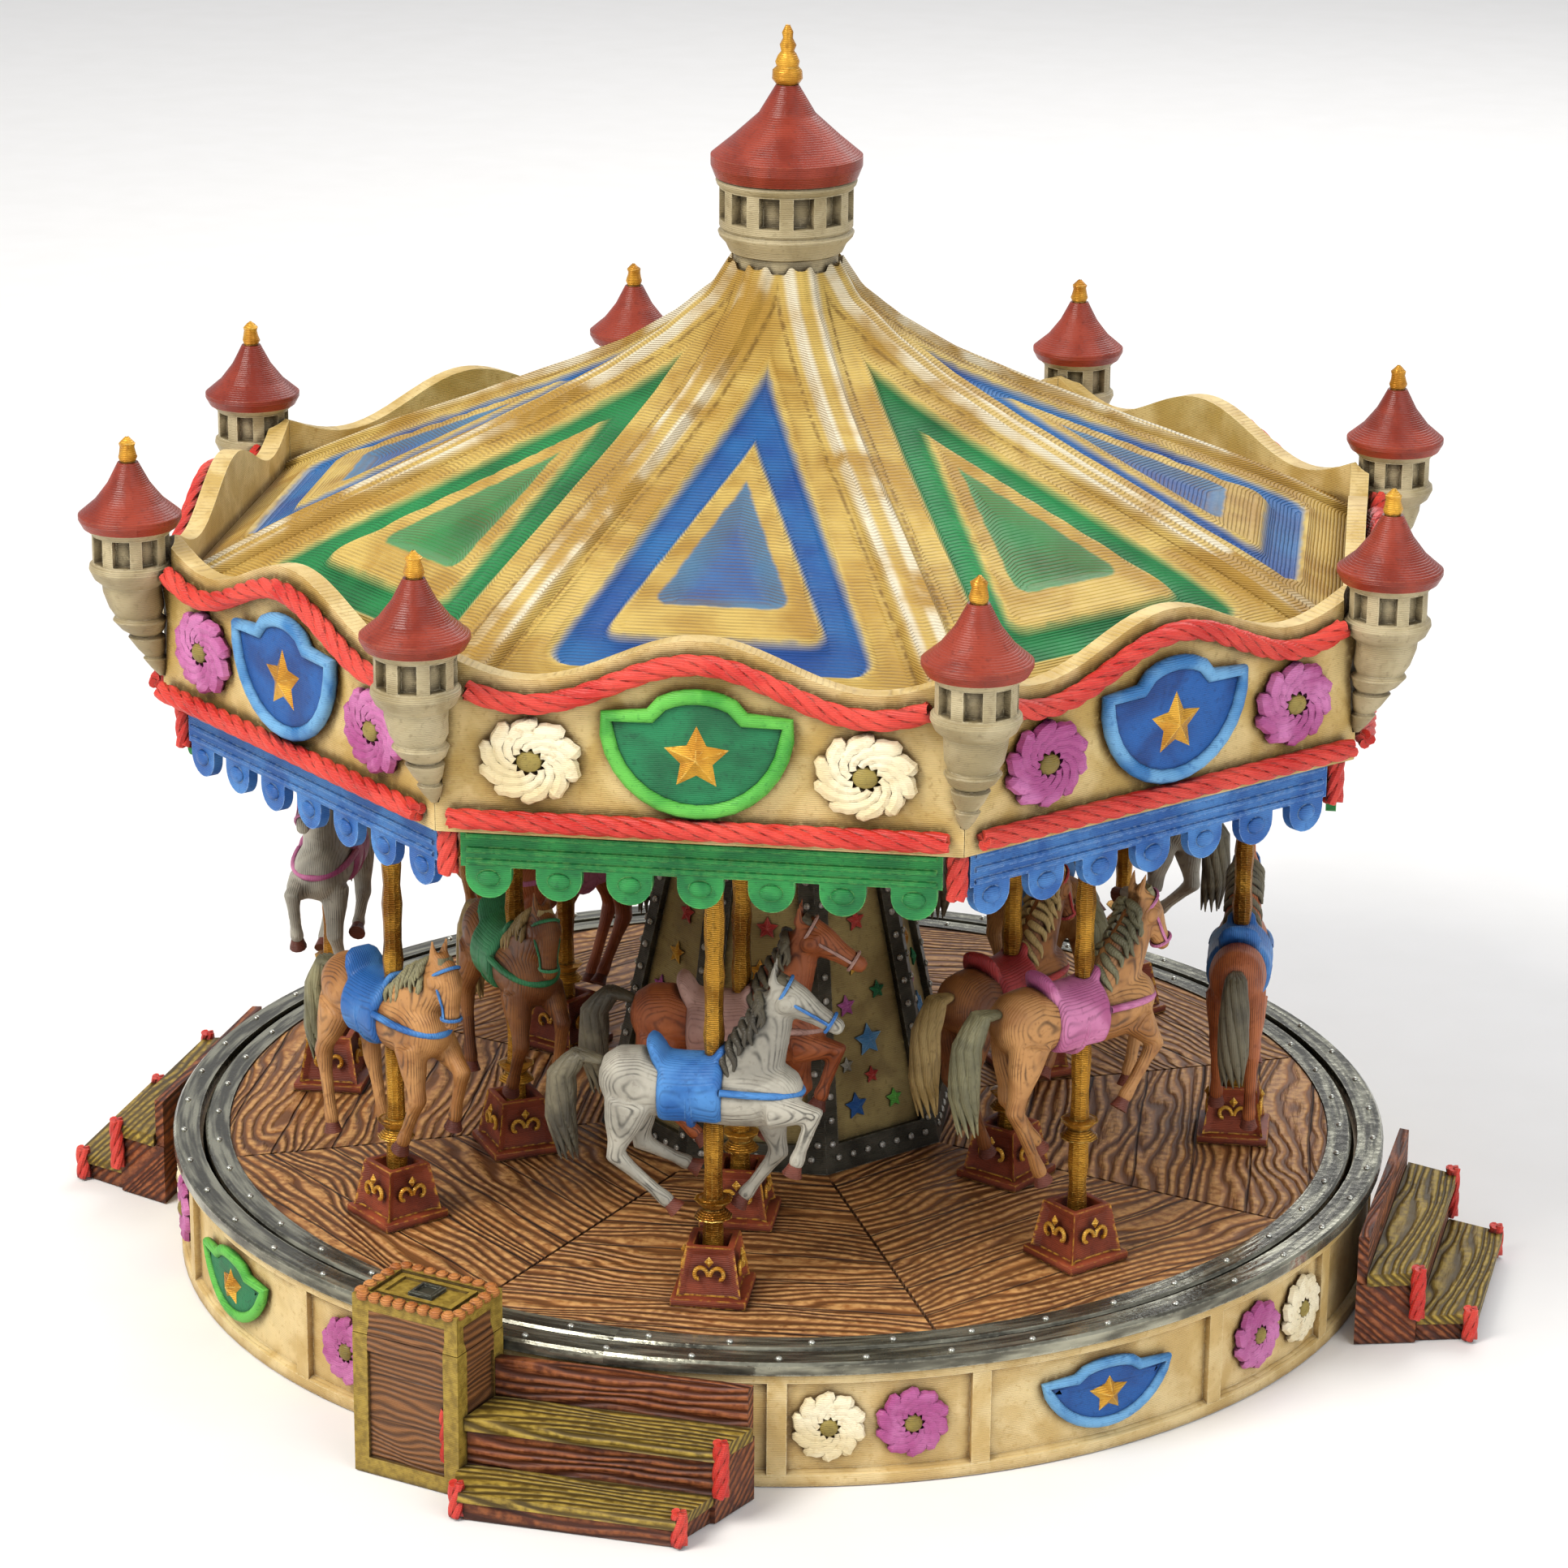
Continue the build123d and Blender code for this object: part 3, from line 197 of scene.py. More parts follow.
    def close(self, paint, height, depth, rough, metallic=0.0, gloss=0.4):
        """Sets the shader from a paint colour, a height for the bump and a roughness."""
        bump = self.tree.nodes.new("ShaderNodeBump")
        bump.inputs["Strength"].default_value = 1.0
        bump.inputs["Distance"].default_value = depth
        self.put(bump.inputs["Height"], height)
        self.put(self.shader.inputs["Normal"], bump.outputs[0])
        self.put(self.shader.inputs["Base Color"], paint)
        self.put(self.shader.inputs["Roughness"], rough)
        self.shader.inputs["Metallic"].default_value = metallic
        self.shader.inputs["Specular IOR Level"].default_value = gloss
        return self.material


def painted(name, base, light, dark, wash_and_shade_colour, rub=None, pitch=LAYER * MM, relief=0.09, rough=0.5, metallic=0.0,
            reach=1.8, wash_and_shade_share=0.85, lines_share=0.35, line_along=None, rub_radius=0.35, rub_share=0.6):
    """Brush paint on a print: patches, layer lines, dark wash and painted shade in the recesses, rubbed
    edges.
    """
    f = Finish(name)
    patches = f.noise(f.place, 110.0, 4.0, 0.6)
    flecks = f.noise(f.place, 1100.0, 3.0)
    paint = f.mix(f.ramp(patches, 0.36, 0.64), colour(base), colour(light))
    paint = f.cover(paint, f.ramp(flecks, 0.56, 0.72, 0.45), dark)
    along = f.attribute(line_along) if line_along else f.split(f.place)[2]
    bent = f.plus(along, f.times(patches, 0.35 * MM))
    lines = f.stripes(bent, pitch)
    patchy = f.times(lines, f.ramp(f.noise(f.place, 260.0, 2.0), 0.35, 0.7, lines_share))
    paint = f.cover(paint, patchy, wash_and_shade_colour)
    # Ambient occlusion within reach darkens corners, recesses and gaps between parts: dark wash and painted
    # shade.
    wash_and_shade_mask = f.times(f.recess_wash_and_shade(reach * MM), f.ramp(flecks, 0.1, 0.5, wash_and_shade_share))
    paint = f.cover(paint, wash_and_shade_mask, wash_and_shade_colour)
    if rub:
        worn = f.times(f.edge(rub_radius * MM), f.ramp(flecks, 0.38, 0.62, rub_share))
        paint = f.cover(paint, worn, rub)
    height = f.plus(f.times(lines, -0.5), f.times(flecks, 0.9))
    sheen = f.ramp(patches, 0.2, 0.8)
    return f.close(paint, height, relief * MM, f.times_plus(sheen, 0.2, rough - 0.1), metallic)


def wooden(name, base, light, dark, wash_and_shade_colour, step, turn, pitch, swirl, plank=0.0, relief=0.32, rough=0.55):
    """Carved and painted boards whose grain runs across each sector."""
    f = Finish(name)
    across, outwards, up, sector = f.fold(step, turn)
    shifted = f.times_plus(sector, 0.37, across)
    rise = f.plus(outwards, up)
    broad = f.noise(f.join(f.times(shifted, 0.35), rise, 0.0), 62.0, 2.0, 0.4)
    fine = f.noise(f.join(f.times(shifted, 0.16), rise, up), 900.0, 4.0)
    phase = f.times_plus(broad, swirl * MM * 2, rise)
    phase = f.times_plus(fine, 0.7 * MM, phase)
    grain = f.stripes(phase, pitch * MM, 0.1, 0.95)
    flecks = f.noise(f.place, 700.0, 3.0)
    patches = f.noise(f.place, 70.0, 3.0)
    paint = f.mix(f.ramp(patches, 0.35, 0.65), colour(base), colour(dark))
    paint = f.cover(paint, f.times(f.ramp(grain, 0.9, 0.1), f.ramp(flecks, 0.3, 0.65, 0.9)), light)
    paint = f.cover(paint, f.times(f.ramp(grain, 0.6, 1.0), 0.6), wash_and_shade_colour)
    height = f.plus(f.times(grain, -1.0), f.times(fine, 0.35))
    if plank:
        wander = f.times_plus(f.noise(f.place, 60.0, 2.0), 1.2 * MM, outwards)
        seam = f.stripes(wander, plank * MM, 0.93, 1.0)
        paint = f.cover(paint, f.times(seam, 0.85), wash_and_shade_colour)
        height = f.minus(height, f.times(seam, 1.2))
    # Dark wash and painted shade in the corners and recesses, from ambient occlusion.
    paint = f.cover(paint, f.times(f.recess_wash_and_shade(2.2 * MM), 0.8), wash_and_shade_colour)
    return f.close(paint, height, relief * MM, f.times_plus(flecks, 0.25, rough - 0.12))


def roof_finish():
    """Ochre panels with a ring and a core in blue or green, and pale rubbed ribs whose pale crests are
    partly a painted highlight.
    """
    f = Finish("roof_paint")
    patches = f.noise(f.place, 75.0, 4.0, 0.5)
    flecks = f.noise(f.place, 900.0, 3.0)
    streaks = f.noise(f.place, 380.0, 2.0)
    paint = f.mix(f.ramp(patches, 0.35, 0.65), colour("AC8432"), colour("CDAE5A"))
    ragged = f.times_plus(streaks, 0.9, -0.45)
    ring = f.ramp(f.plus(f.attribute("ring"), ragged), 0.35, -0.35)
    core = f.ramp(f.plus(f.attribute("core"), ragged), 0.35, -0.35)
    tint = f.ramp(f.noise(f.place, 60.0, 3.0), 0.3, 0.7)
    blue = f.mix(tint, colour("0C3F86"), colour("1F68A4"))
    green = f.mix(tint, colour("055C2C"), colour("1C8546"))
    chosen = f.mix(f.attribute("green"), blue, green)
    thin = f.mix(0.2, chosen, colour("7FA87A"))
    paint = f.mix(ring, paint, chosen)
    inner = f.mix(f.ramp(f.attribute("core"), -1.0, -4.5), thin, chosen)
    paint = f.mix(f.times(core, 0.95), paint, inner)
    rim = f.minus(1.0, f.math("MINIMUM", f.size(f.attribute("ring")), 1.0))
    paint = f.cover(paint, f.times(f.ramp(rim, 0.1, 0.9), 0.35), "E6CF7C")
    rib = f.attribute("rib")
    beaded = f.size(f.minus(rib, 1.9))
    # Pale paint on the rib crests: partly pale dry-brush, partly a painted highlight on the raised tops.
    crest = f.times(f.ramp(beaded, 1.3, 0.3), f.ramp(patches, 0.34, 0.6, 0.85))
    paint = f.cover(paint, crest, "E4DCC4")
    stitch = f.times(f.ramp(f.size(f.minus(rib, 4.0)), 0.5, 0.05), f.ramp(flecks, 0.35, 0.6, 0.8))
    paint = f.cover(paint, stitch, "7A5A1E")
    lines = f.stripes(f.times_plus(patches, 0.2 * MM, f.split(f.place)[2]), LAYER * MM, 0.3, 1.0)
    shown = f.times(lines, f.ramp(f.noise(f.place, 130.0, 2.0), 0.3, 0.62, 0.5))
    dark = f.mix(ring, colour("6E4E1C"), f.mix(f.attribute("green"), colour("0A3566"), colour("06401F")))
    paint = f.mix(shown, paint, dark)
    # Dark wash and painted shade in the sunk rings, cores and corners, from ambient occlusion.
    paint = f.cover(paint, f.times(f.recess_wash_and_shade(3.0 * MM), 0.6), "6A4A18")
    height = f.plus(f.times(lines, -0.8), f.times(flecks, 0.5))
    return f.close(paint, height, 0.16 * MM, f.times_plus(flecks, 0.3, 0.38))


def ring_finish():
    """Dark iron paint dry-brushed with silver along the turning direction, with silver rivets."""
    f = Finish("iron_ring_paint")
    x, y, z = f.split(f.place)
    reach = f.reach(x, y)
    angle = f.math("ARCTAN2", x, y)
    brushed = f.noise(f.join(f.times(angle, 0.018), f.times(reach, 2.2), z), 420.0, 4.0)
    flecks = f.noise(f.place, 1000.0, 3.0)
    paint = f.mix(f.ramp(brushed, 0.4, 0.68), colour("56544A"), colour("A8A692"))
    rivets = f.ramp(z, (DECK_TOP + 0.32) * MM, (DECK_TOP + 0.4) * MM)
    paint = f.cover(paint, rivets, "C9C9BE")
    paint = f.cover(paint, f.times(f.edge(0.5 * MM), f.ramp(flecks, 0.35, 0.6, 0.8)), "B9B7A4")
    # Near-black dark wash and painted shade in the corners and gaps, from ambient occlusion.
    paint = f.cover(paint, f.times(f.recess_wash_and_shade(1.4 * MM), 0.8), "16150F")
    height = f.plus(f.times(brushed, 0.8), f.times(flecks, 0.4))
    return f.close(paint, height, 0.12 * MM, f.ramp(flecks, 0.2, 0.8, 0.3), 0.65)


def plain_part(name, base, light, rough, metallic=0.0):
    """A turned or moulded inner part with fine machining marks."""
    f = Finish(name)
    x, y, z = f.split(f.place)
    reach = f.reach(x, y)
    marks = f.stripes(f.plus(reach, z), 0.25 * MM)
    clouds = f.noise(f.place, 200.0, 4.0)
    paint = f.mix(f.ramp(clouds, 0.35, 0.65), colour(base), colour(light))
    height = f.plus(marks, clouds)
    return f.close(paint, height, 0.03 * MM, f.times_plus(clouds, 0.3, rough - 0.15), metallic)


def booth_finish():
    """Ochre corner posts and brown boards between them, seen by the place on the booth."""
    f = Finish("booth_paint")
    across, outwards, up, _ = f.fold(math.tau, BOOTH_TURN)
    side = f.size(across)
    deep = f.size(f.minus(outwards, BOOTH_REACH * MM))
    post = f.times(f.ramp(side, 6.6 * MM, 6.7 * MM), f.ramp(deep, 3.65 * MM, 3.75 * MM))
    rails = f.math("MAXIMUM", f.ramp(up, 2.7 * MM, 2.5 * MM), f.ramp(up, 26.3 * MM, 26.5 * MM))
    post = f.math("MAXIMUM", post, rails)
    broad = f.noise(f.join(f.times(across, 0.5), f.times(outwards, 0.5), up), 90.0, 2.0, 0.4)
    flecks = f.noise(f.place, 900.0, 3.0)
    grain = f.stripes(f.times_plus(broad, 6.0 * MM, up), 1.0 * MM, 0.1, 0.95)
    boards = f.mix(f.times(grain, 0.8), colour("8A5A30"), colour("3E2412"))
    seam = f.stripes(f.plus(up, 1.5 * MM), 7.2 * MM, 0.93, 1.0)
    boards = f.cover(boards, f.times(seam, 0.8), "2A170B")
    posts = f.mix(f.ramp(flecks, 0.3, 0.7), colour("7E6620"), colour("A58A36"))
    paint = f.mix(post, boards, posts)
    # Dark wash and painted shade in the corners and recesses, from ambient occlusion.
    paint = f.cover(paint, f.times(f.recess_wash_and_shade(1.6 * MM), 0.8), "2E1C0C")
    lines = f.stripes(up, LAYER * MM)
    carved = f.times(f.minus(1.0, post), grain)
    height = f.plus(f.times(carved, -1.4), f.plus(f.times(lines, -0.25), flecks))
    return f.close(paint, height, 0.16 * MM, f.times_plus(flecks, 0.2, 0.45))


# Each paint: the material's name, its base, light, dark, wash (which also lays the painted shade in the
# recesses) and, where edges are rubbed, rub colours, and what differs from the usual settings.
PAINTS = {
    "cream": ("cream_paint", "C9A96A E2C992 B8924E 6E4E22 F0E2B8", {}),
    "fascia": ("fascia_paint", "BF9F58 DBC184 A88444 5E4218 EBD9A0", {}),
    "red": ("red_rope_paint", "C42820 DC4638 A4201A 3E0A08 EE7A68",
            dict(reach=1.7, rub_share=0.4, wash_and_shade_share=1.0)),
    "green_border": ("green_border_paint", "3F9A34 63BC48 2A7A2A 0F4A1E 9ADC78", {}),
    "green_field": ("green_field_paint", "085A34 187A4A 08442C 032015 4FB27E", {}),
    "blue_border": ("blue_border_paint", "2F74B0 6FA8D2 225C98 0E2E5A B4DAF0", {}),
    "blue_field": ("blue_field_paint", "0C3C7E 1C5AA2 0A2E62 041638 5E9AD4", {}),
    "green_valance": ("green_valance_paint", "0E6E36 2E9448 0A542A 04301A 86D070", dict(reach=1.2)),
    "blue_valance": ("blue_valance_paint", "215AA2 4A84C4 184684 0A2452 AED0F2", dict(reach=1.2)),
    "gold": ("gold_paint", "B87A1C E0A838 8A5410 4A2A08 FFDF7A",
             dict(metallic=0.45, rough=0.36, reach=1.0, rub_share=0.9)),
    "pole": ("pole_gold_paint", "8E5A14 DCA23A 5E3A0C 2E1A06 FFDC78",
             dict(metallic=0.7, rough=0.36, reach=1.0, relief=0.5, rub_share=0.9)),
    "rope_cream": ("cream_rosette_paint", "E2CFA0 F4E8C6 CDB07C 3E2812",
                   dict(reach=1.5, lines_share=0.1, wash_and_shade_share=1.0)),
    "rope_pink": ("pink_rosette_paint", "A84A84 CA78AC 8E386E 3E102E",
                  dict(reach=1.5, lines_share=0.1, wash_and_shade_share=1.0)),
    "boss": ("boss_paint", "7E6C2C 9C8A44 5E4E1E 2E2208", dict(reach=0.8)),
    "stone": ("turret_stone_paint", "9A8A64 BAAB86 80724F 3A2E1C D8CCAA", dict(reach=2.2)),
    "brick": ("turret_roof_paint", "7A2614 963620 66200F 3E1008 BC6444", dict(lines_share=0.2, rough=0.36)),
    "iron": ("column_iron_paint", "3A382F 5E5B4E 2A2820 100F0A A8A698",
             dict(metallic=0.55, rough=0.42, lines_share=0.1)),
    "silver": ("rivet_silver_paint", "A9A89E D2D2CA 84837A 2E2D28",
               dict(metallic=0.7, rough=0.32, reach=0.7, lines_share=0.05)),
    "tan": ("column_tan_paint", "8E7A48 B09C62 6E5C32 2E2410", dict(reach=2.6)),
    "pedestal": ("pedestal_paint", "74301C 984628 562012 260C06 D29A34",
                 dict(rub_radius=0.5, rub_share=0.95, reach=1.4)),
    "ceiling": ("ceiling_paint", "8A6A3A A8874E 6A4E28 38260F", dict(lines_share=0.2)),
    "star_red": ("star_red_paint", "A01E1E C84038 7A1414 340808 E88070", dict(reach=0.7)),
    "star_silver": ("star_silver_paint", "9A9A8E C8C8BC 74746A 2C2C26", dict(reach=0.7, metallic=0.4)),
    "star_magenta": ("star_magenta_paint", "8E3478 B85CA2 6E2460 300E2A DC9ACC", dict(reach=0.7)),
    "lid_plate": ("lid_plate_paint", "4A4A3E 77776A 34342A 14140E B4B4A4", dict(reach=0.8, metallic=0.4)),
    "carved": ("carved_rim_paint", "A8602A CC8848 8A4A1C 3E1C0A EBB47A", dict(reach=0.9, relief=0.2)),
    "hoof": ("hoof_paint", "5A2A1E 7C4232 42190F 1E0A06", dict(reach=0.8)),
}
finish = {key: painted(name, *codes.split(), **settings) for key, (name, codes, settings) in PAINTS.items()}
finish.update({
    "deck": wooden("deck_wood_paint", "A46A36", "D4A062", "86542A", "4A2A12", STEP, ROTOR_TURN, 1.9, 9.0,
                   plank=9.4, relief=0.5),
    "tread": wooden("tread_wood_paint", "7A6220", "B0943C", "604C16", "2E2208", STEP * 2, 0.0, 1.5, 6.0),
    "riser": wooden("riser_wood_paint", "6E3418", "9C5A30", "52240F", "2A1006", STEP * 2, 0.0, 1.5, 7.0),
    "roof": roof_finish(),
    "ring": ring_finish(),
    "booth": booth_finish(),
    "steel": plain_part("spindle_steel", "8C8E90", "B4B6B8", 0.35, 0.9),
    "nylon": plain_part("washer_nylon", "D8D4C8", "ECE8DC", 0.5),
    "plastic": plain_part("base_plastic", "3A3A3C", "4C4C50", 0.55),
})
COATS = {
    "grey": "8E897C B4AE9E 766F63 1A1714 DAD4C4",
    "tan": "94602E BC8850 7A4A20 3A200C DCAE78",
    "chestnut": "8A4420 AE6236 6E3014 32140A D08A58",
    "bay": "6E3E1E 96602F 532B13 26120A B88450",
    "black": "1E1A18 34302C 141110 060505 66605A",
}
HAIRS = {
    "dark": "3E382C 6E6650 2A251C 0E0C08 6E6650",
    "olive": "5E5A40 8C8662 45412C 1A180E 8C8662",
    "straw": "8A7240 B49A62 6A552C 2C200C B49A62",
}
TACKS = {
    "blue": "1E5A9E 4A86C4 16467E 0A2248 8CBCE6",
    "pink": "A8507E CC7CA4 8A3A66 421230 E8AECA",
    "dusty": "A0786C C49C8E 80594E 3A2018 DEC0B4",
    "red": "8E1E22 B43A38 6E1418 2E0608 DC7A70",
    "green": "1E6A3E 3E9460 144E2C 06240F 86C89A",
}


def horse_paints(kind, table, **settings):
    """Paints whose print lines run across the horse, along its points' side attribute."""
    for label, codes in table.items():
        name = "%s_%s" % (kind, label)
        finish[name] = painted(name, *codes.split(), line_along="side", **settings)


horse_paints("coat", COATS, pitch=0.34 * MM, lines_share=0.8, rub_share=0.35)
horse_paints("hair", HAIRS, pitch=0.3 * MM, reach=1.0)
horse_paints("tack", TACKS, pitch=0.34 * MM, reach=1.2, lines_share=0.45)


# ============================================================== modelling tools ==

def deselect():
    if bpy.context.mode != "OBJECT":
        bpy.ops.object.mode_set(mode="OBJECT")
    bpy.ops.object.select_all(action="DESELECT")


def only(piece):
    """Makes a piece the one that is selected and active."""
    deselect()
    bpy.context.view_layer.objects.active = piece
    piece.select_set(True)
    return piece


def linked(name, data):
    """A new object with its data, put in the scene."""
    piece = bpy.data.objects.new(name, data)
    bpy.context.scene.collection.objects.link(piece)
    return piece


def edit():
    bpy.ops.object.mode_set(mode="EDIT")


def leave():
    """Back to object mode; returns the piece that was being edited."""
    bpy.ops.object.mode_set(mode="OBJECT")
    return bpy.context.object


def choose_faces(piece, test):
    """In edit mode, selects the faces that the test of centre and normal allows."""
    bpy.ops.mesh.select_mode(type="FACE")
    bpy.ops.mesh.select_all(action="DESELECT")
    bpy.ops.object.mode_set(mode="OBJECT")
    for face in piece.data.polygons:
        face.select = bool(test(face.center, face.normal))
    edit()


def apply(piece, kind, **settings):
    """Adds a modifier and applies it."""
    modifier = piece.modifiers.new(kind.lower(), kind)
    for key, value in settings.items():
        setattr(modifier, key, value)
    only(piece)
    bpy.ops.object.modifier_apply(modifier=modifier.name)
    return piece


def settle(piece):
    """Applies the piece's place, merges doubles and turns its faces outwards."""
    only(piece)
    bpy.ops.object.transform_apply(location=True, rotation=True, scale=True)
    edit()
    bpy.ops.mesh.select_all(action="SELECT")
    bpy.ops.mesh.remove_doubles(threshold=MERGE * MM)
    bpy.ops.mesh.normals_make_consistent(inside=False)
    return leave()


def placed(x, y, z, turn=0.0):
    return Matrix.Translation((x, y, z)) @ Matrix.Rotation(turn, 4, "Z")


def spot(reach, angle, height=0.0):
    """The place at a distance in metres and an angle, turned so that local -Y faces outwards."""
    return placed(reach * math.sin(angle), -reach * math.cos(angle), height, angle)


def copy_to(source, place):
    """A copy of a piece with its own mesh, moved to its place in its mesh."""
    piece = source.copy()
    piece.data = source.data.copy()
    piece.data.transform(place)
    bpy.context.scene.collection.objects.link(piece)
    return piece


def joined(pieces, name):
    """Joins several pieces into one named piece."""
    deselect()
    for piece in pieces:
        piece.select_set(True)
    bpy.context.view_layer.objects.active = pieces[0]
    if len(pieces) > 1:
        bpy.ops.object.join()
    pieces[0].name = name
    pieces[0].data.name = name
    return pieces[0]


def repeated(source, places, name):
    """Copies of one piece at several places, joined; the pattern itself is removed."""
    made = joined([copy_to(source, place) for place in places], name)
    bpy.data.objects.remove(source)
    return made


def cover_with(piece, material):
    piece.data.materials.clear()
    piece.data.materials.append(finish[material])


def dress(piece, material, body, replaces=(), angle=40.0):
    """Gives a piece its material, smooth shading and body, and hides the CAD nodes it stands for."""
    cover_with(piece, material)
    only(piece)
    bpy.ops.object.shade_smooth_by_angle(angle=math.radians(angle))
    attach(piece, body)
    if replaces:
        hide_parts(*replaces)
    return piece


def bar(sections, facets=12, start=True):
    """A closed bar through sections of (forward, across, up, half thickness, half width).

    Each section is extruded from the one before, turned square to the line and resized.
    With start the bar is a new object; otherwise it joins the one in edit mode.
    """
    points = [Vector(s[:3]) * MM for s in sections]
    pitches = []
    for i in range(len(points)):
        step = points[min(i + 1, len(points) - 1)] - points[max(i - 1, 0)]
        pitches.append(math.atan2(step.x, step.z))
    if start:
        deselect()
    else:
        bpy.ops.mesh.select_all(action="DESELECT")
    thick, wide = sections[0][3], sections[0][4]
    bpy.ops.mesh.primitive_circle_add(vertices=facets, radius=thick * MM, fill_type="NGON",
                                      location=points[0], rotation=(0, pitches[0], 0))
    if start:
        bpy.ops.object.transform_apply(location=True, rotation=True)
        edit()
    bpy.ops.transform.resize(value=(1, wide / thick, 1), center_override=points[0])
    for i in range(1, len(points)):
        turn = (pitches[i] - pitches[i - 1] + math.pi) % math.tau - math.pi
        grow, widen = sections[i][3] / thick, sections[i][4] / wide
        thick, wide = sections[i][3], sections[i][4]
        bpy.ops.mesh.extrude_region_move(TRANSFORM_OT_translate={"value": points[i] - points[i - 1]})
        bpy.ops.transform.rotate(value=-turn, orient_axis="Y", center_override=points[i])
        bpy.ops.transform.resize(value=(grow, widen, grow), center_override=points[i])


def tower(sections, facets, name):
    """A many-sided body on Z through sections of (radius, height[, shift towards +Y])."""
    deselect()
    radius, height = sections[0][:2]
    shift = sections[0][2] if len(sections[0]) > 2 else 0.0
    bpy.ops.mesh.primitive_circle_add(vertices=facets, radius=radius * MM, fill_type="NGON",
                                      location=(0, shift * MM, height * MM))
    bpy.ops.object.transform_apply(location=True)
    piece = bpy.context.object
    edit()
    for section in sections[1:]:
        new_shift = section[2] if len(section) > 2 else 0.0
        move = Vector((0, new_shift - shift, section[1] - height)) * MM
        bpy.ops.mesh.extrude_region_move(TRANSFORM_OT_translate={"value": move})
        bpy.ops.transform.resize(value=(section[0] / radius,) * 3,
                                 center_override=(0, new_shift * MM, section[1] * MM))
        radius, height, shift = section[0], section[1], new_shift
    leave()
    piece.name = name
    return settle(piece)


def tube(routes, radius, name, facets=8, taper=None, closed=False):
    """Tubes along lists of points; taper gives each route's radii as shares of the radius."""
    curve = bpy.data.curves.new(name, "CURVE")
    curve.dimensions = "3D"
    curve.bevel_depth = radius * MM
    curve.bevel_resolution = facets // 4
    curve.use_fill_caps = not closed
    for number, route in enumerate(routes):
        spline = curve.splines.new("POLY")
        spline.points.add(len(route) - 1)
        spline.use_cyclic_u = closed
        for i, point in enumerate(route):
            spline.points[i].co = (*(Vector(point) * MM), 1.0)
            spline.points[i].radius = taper[number][i] if taper else 1.0
    only(linked(name, curve))
    bpy.ops.object.convert(target="MESH")
    return bpy.context.object


def rope(path, radius, name, lay, strands=4):
    """A laid rope along a path in the XZ plane; each strand turns once in the length of a lay."""
    centres = [Vector(p) for p in path]
    routes = [[] for _ in range(strands)]
    travelled = 0.0
    for i, centre in enumerate(centres):
        ahead = centres[min(i + 1, len(centres) - 1)] - centres[max(i - 1, 0)]
        along = ahead.normalized()
        out = Vector((0, -1, 0))
        side = along.cross(out).normalized()
        if i:
            travelled += (centre - centres[i - 1]).length
        for strand in range(strands):
            turn = math.tau * (strand / strands + travelled / lay)
            around = out * math.cos(turn) + side * math.sin(turn)
            routes[strand].append(centre + around * radius * 0.52)
    return tube(routes, radius * 0.56, name)


# ==================================================== CAD pieces that stay ========
for node_name, material_name in (
    ("base_floor", "plastic"),
    ("spindle", "steel"),
    ("thrust_washer", "nylon"),
    ("deck_hub", "ceiling"),
    ("base_drum", "cream"),
    ("fixed_ring", "ring"),
    ("rotor_ring", "ring"),
    ("deck", "deck"),
    ("stair_boards", "riser"),
    ("stair_treads", "tread"),
    ("booth_body", "booth"),
    ("column_core", "tan"),
    ("column_frames", "iron"),
    ("canopy_frame", "ceiling"),
    ("fascia_boards", "fascia"),
    ("turret_roofs", "brick"),
    ("crown_roof", "brick"),
):
    cover_with(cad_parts[node_name], material_name)

side_angles = [ROTOR_TURN + STEP * k for k in range(SIDES)]
corner_angles = [angle + HALF_SIDE for angle in side_angles]
quarter_angles = [math.radians(90.0 * k) for k in range(4)]


def line_value(table, x):
    """Straight-line reading of a table of (x, value)."""
    for (x0, y0), (x1, y1) in zip(table, table[1:]):
        if x <= x1:
            return y0 + (y1 - y0) * (x - x0) / (x1 - x0)
    return table[-1][1]


# ================================================================ roof ===========
# The roof's ridge line as (distance from the axis, height), and the meshes' rows and columns.
ROOF_LINE = ((9.6, 163.5), (13, 158.4), (20, 153.2), (30, 147.6), (42, 142.0), (55, 136.6), (68, 131.2),
             (80, 126.2), (90, 121.6), (97.36, 118.0))
ROOF_THICK = 1.8
ROOF_ROWS = 92
RIB_SHARES = (0.0, 0.1, 0.22, 0.36, 0.5, 0.62, 0.7, 0.78, 0.86, 0.94, 1.0)
PANEL_SHARES = [i / 17 for i in range(1, 18)]
# Painted triangles: the tip's distance, its half width, the sides' slope, the base, the rounding.
RING_EDGE = (23.4, 1.0, 0.397, 83.0, 4.0)
RING_HOLE = (36.8, 0.4, 0.40, 76.8, 2.6)
CORE_EDGE = (44.5, 0.2, 0.39, 70.5, 2.4)


def soft(value, low, high):
    """0 at low, 1 at high, smooth between and flat outside."""
    share = max(0.0, min(1.0, (value - low) / (high - low)))
    return share * share * (3 - 2 * share)


def triangle(a, t, tip, tip_half, slope, base, rounding):
    """Signed distance outside a triangle that opens towards the eaves, with round corners."""
    lean = math.hypot(1, slope)
    first = (abs(t) - tip_half - slope * (a - tip)) / lean + rounding
    second = a - base + rounding
    return math.hypot(max(first, 0), max(second, 0)) + min(max(first, second), 0) - rounding


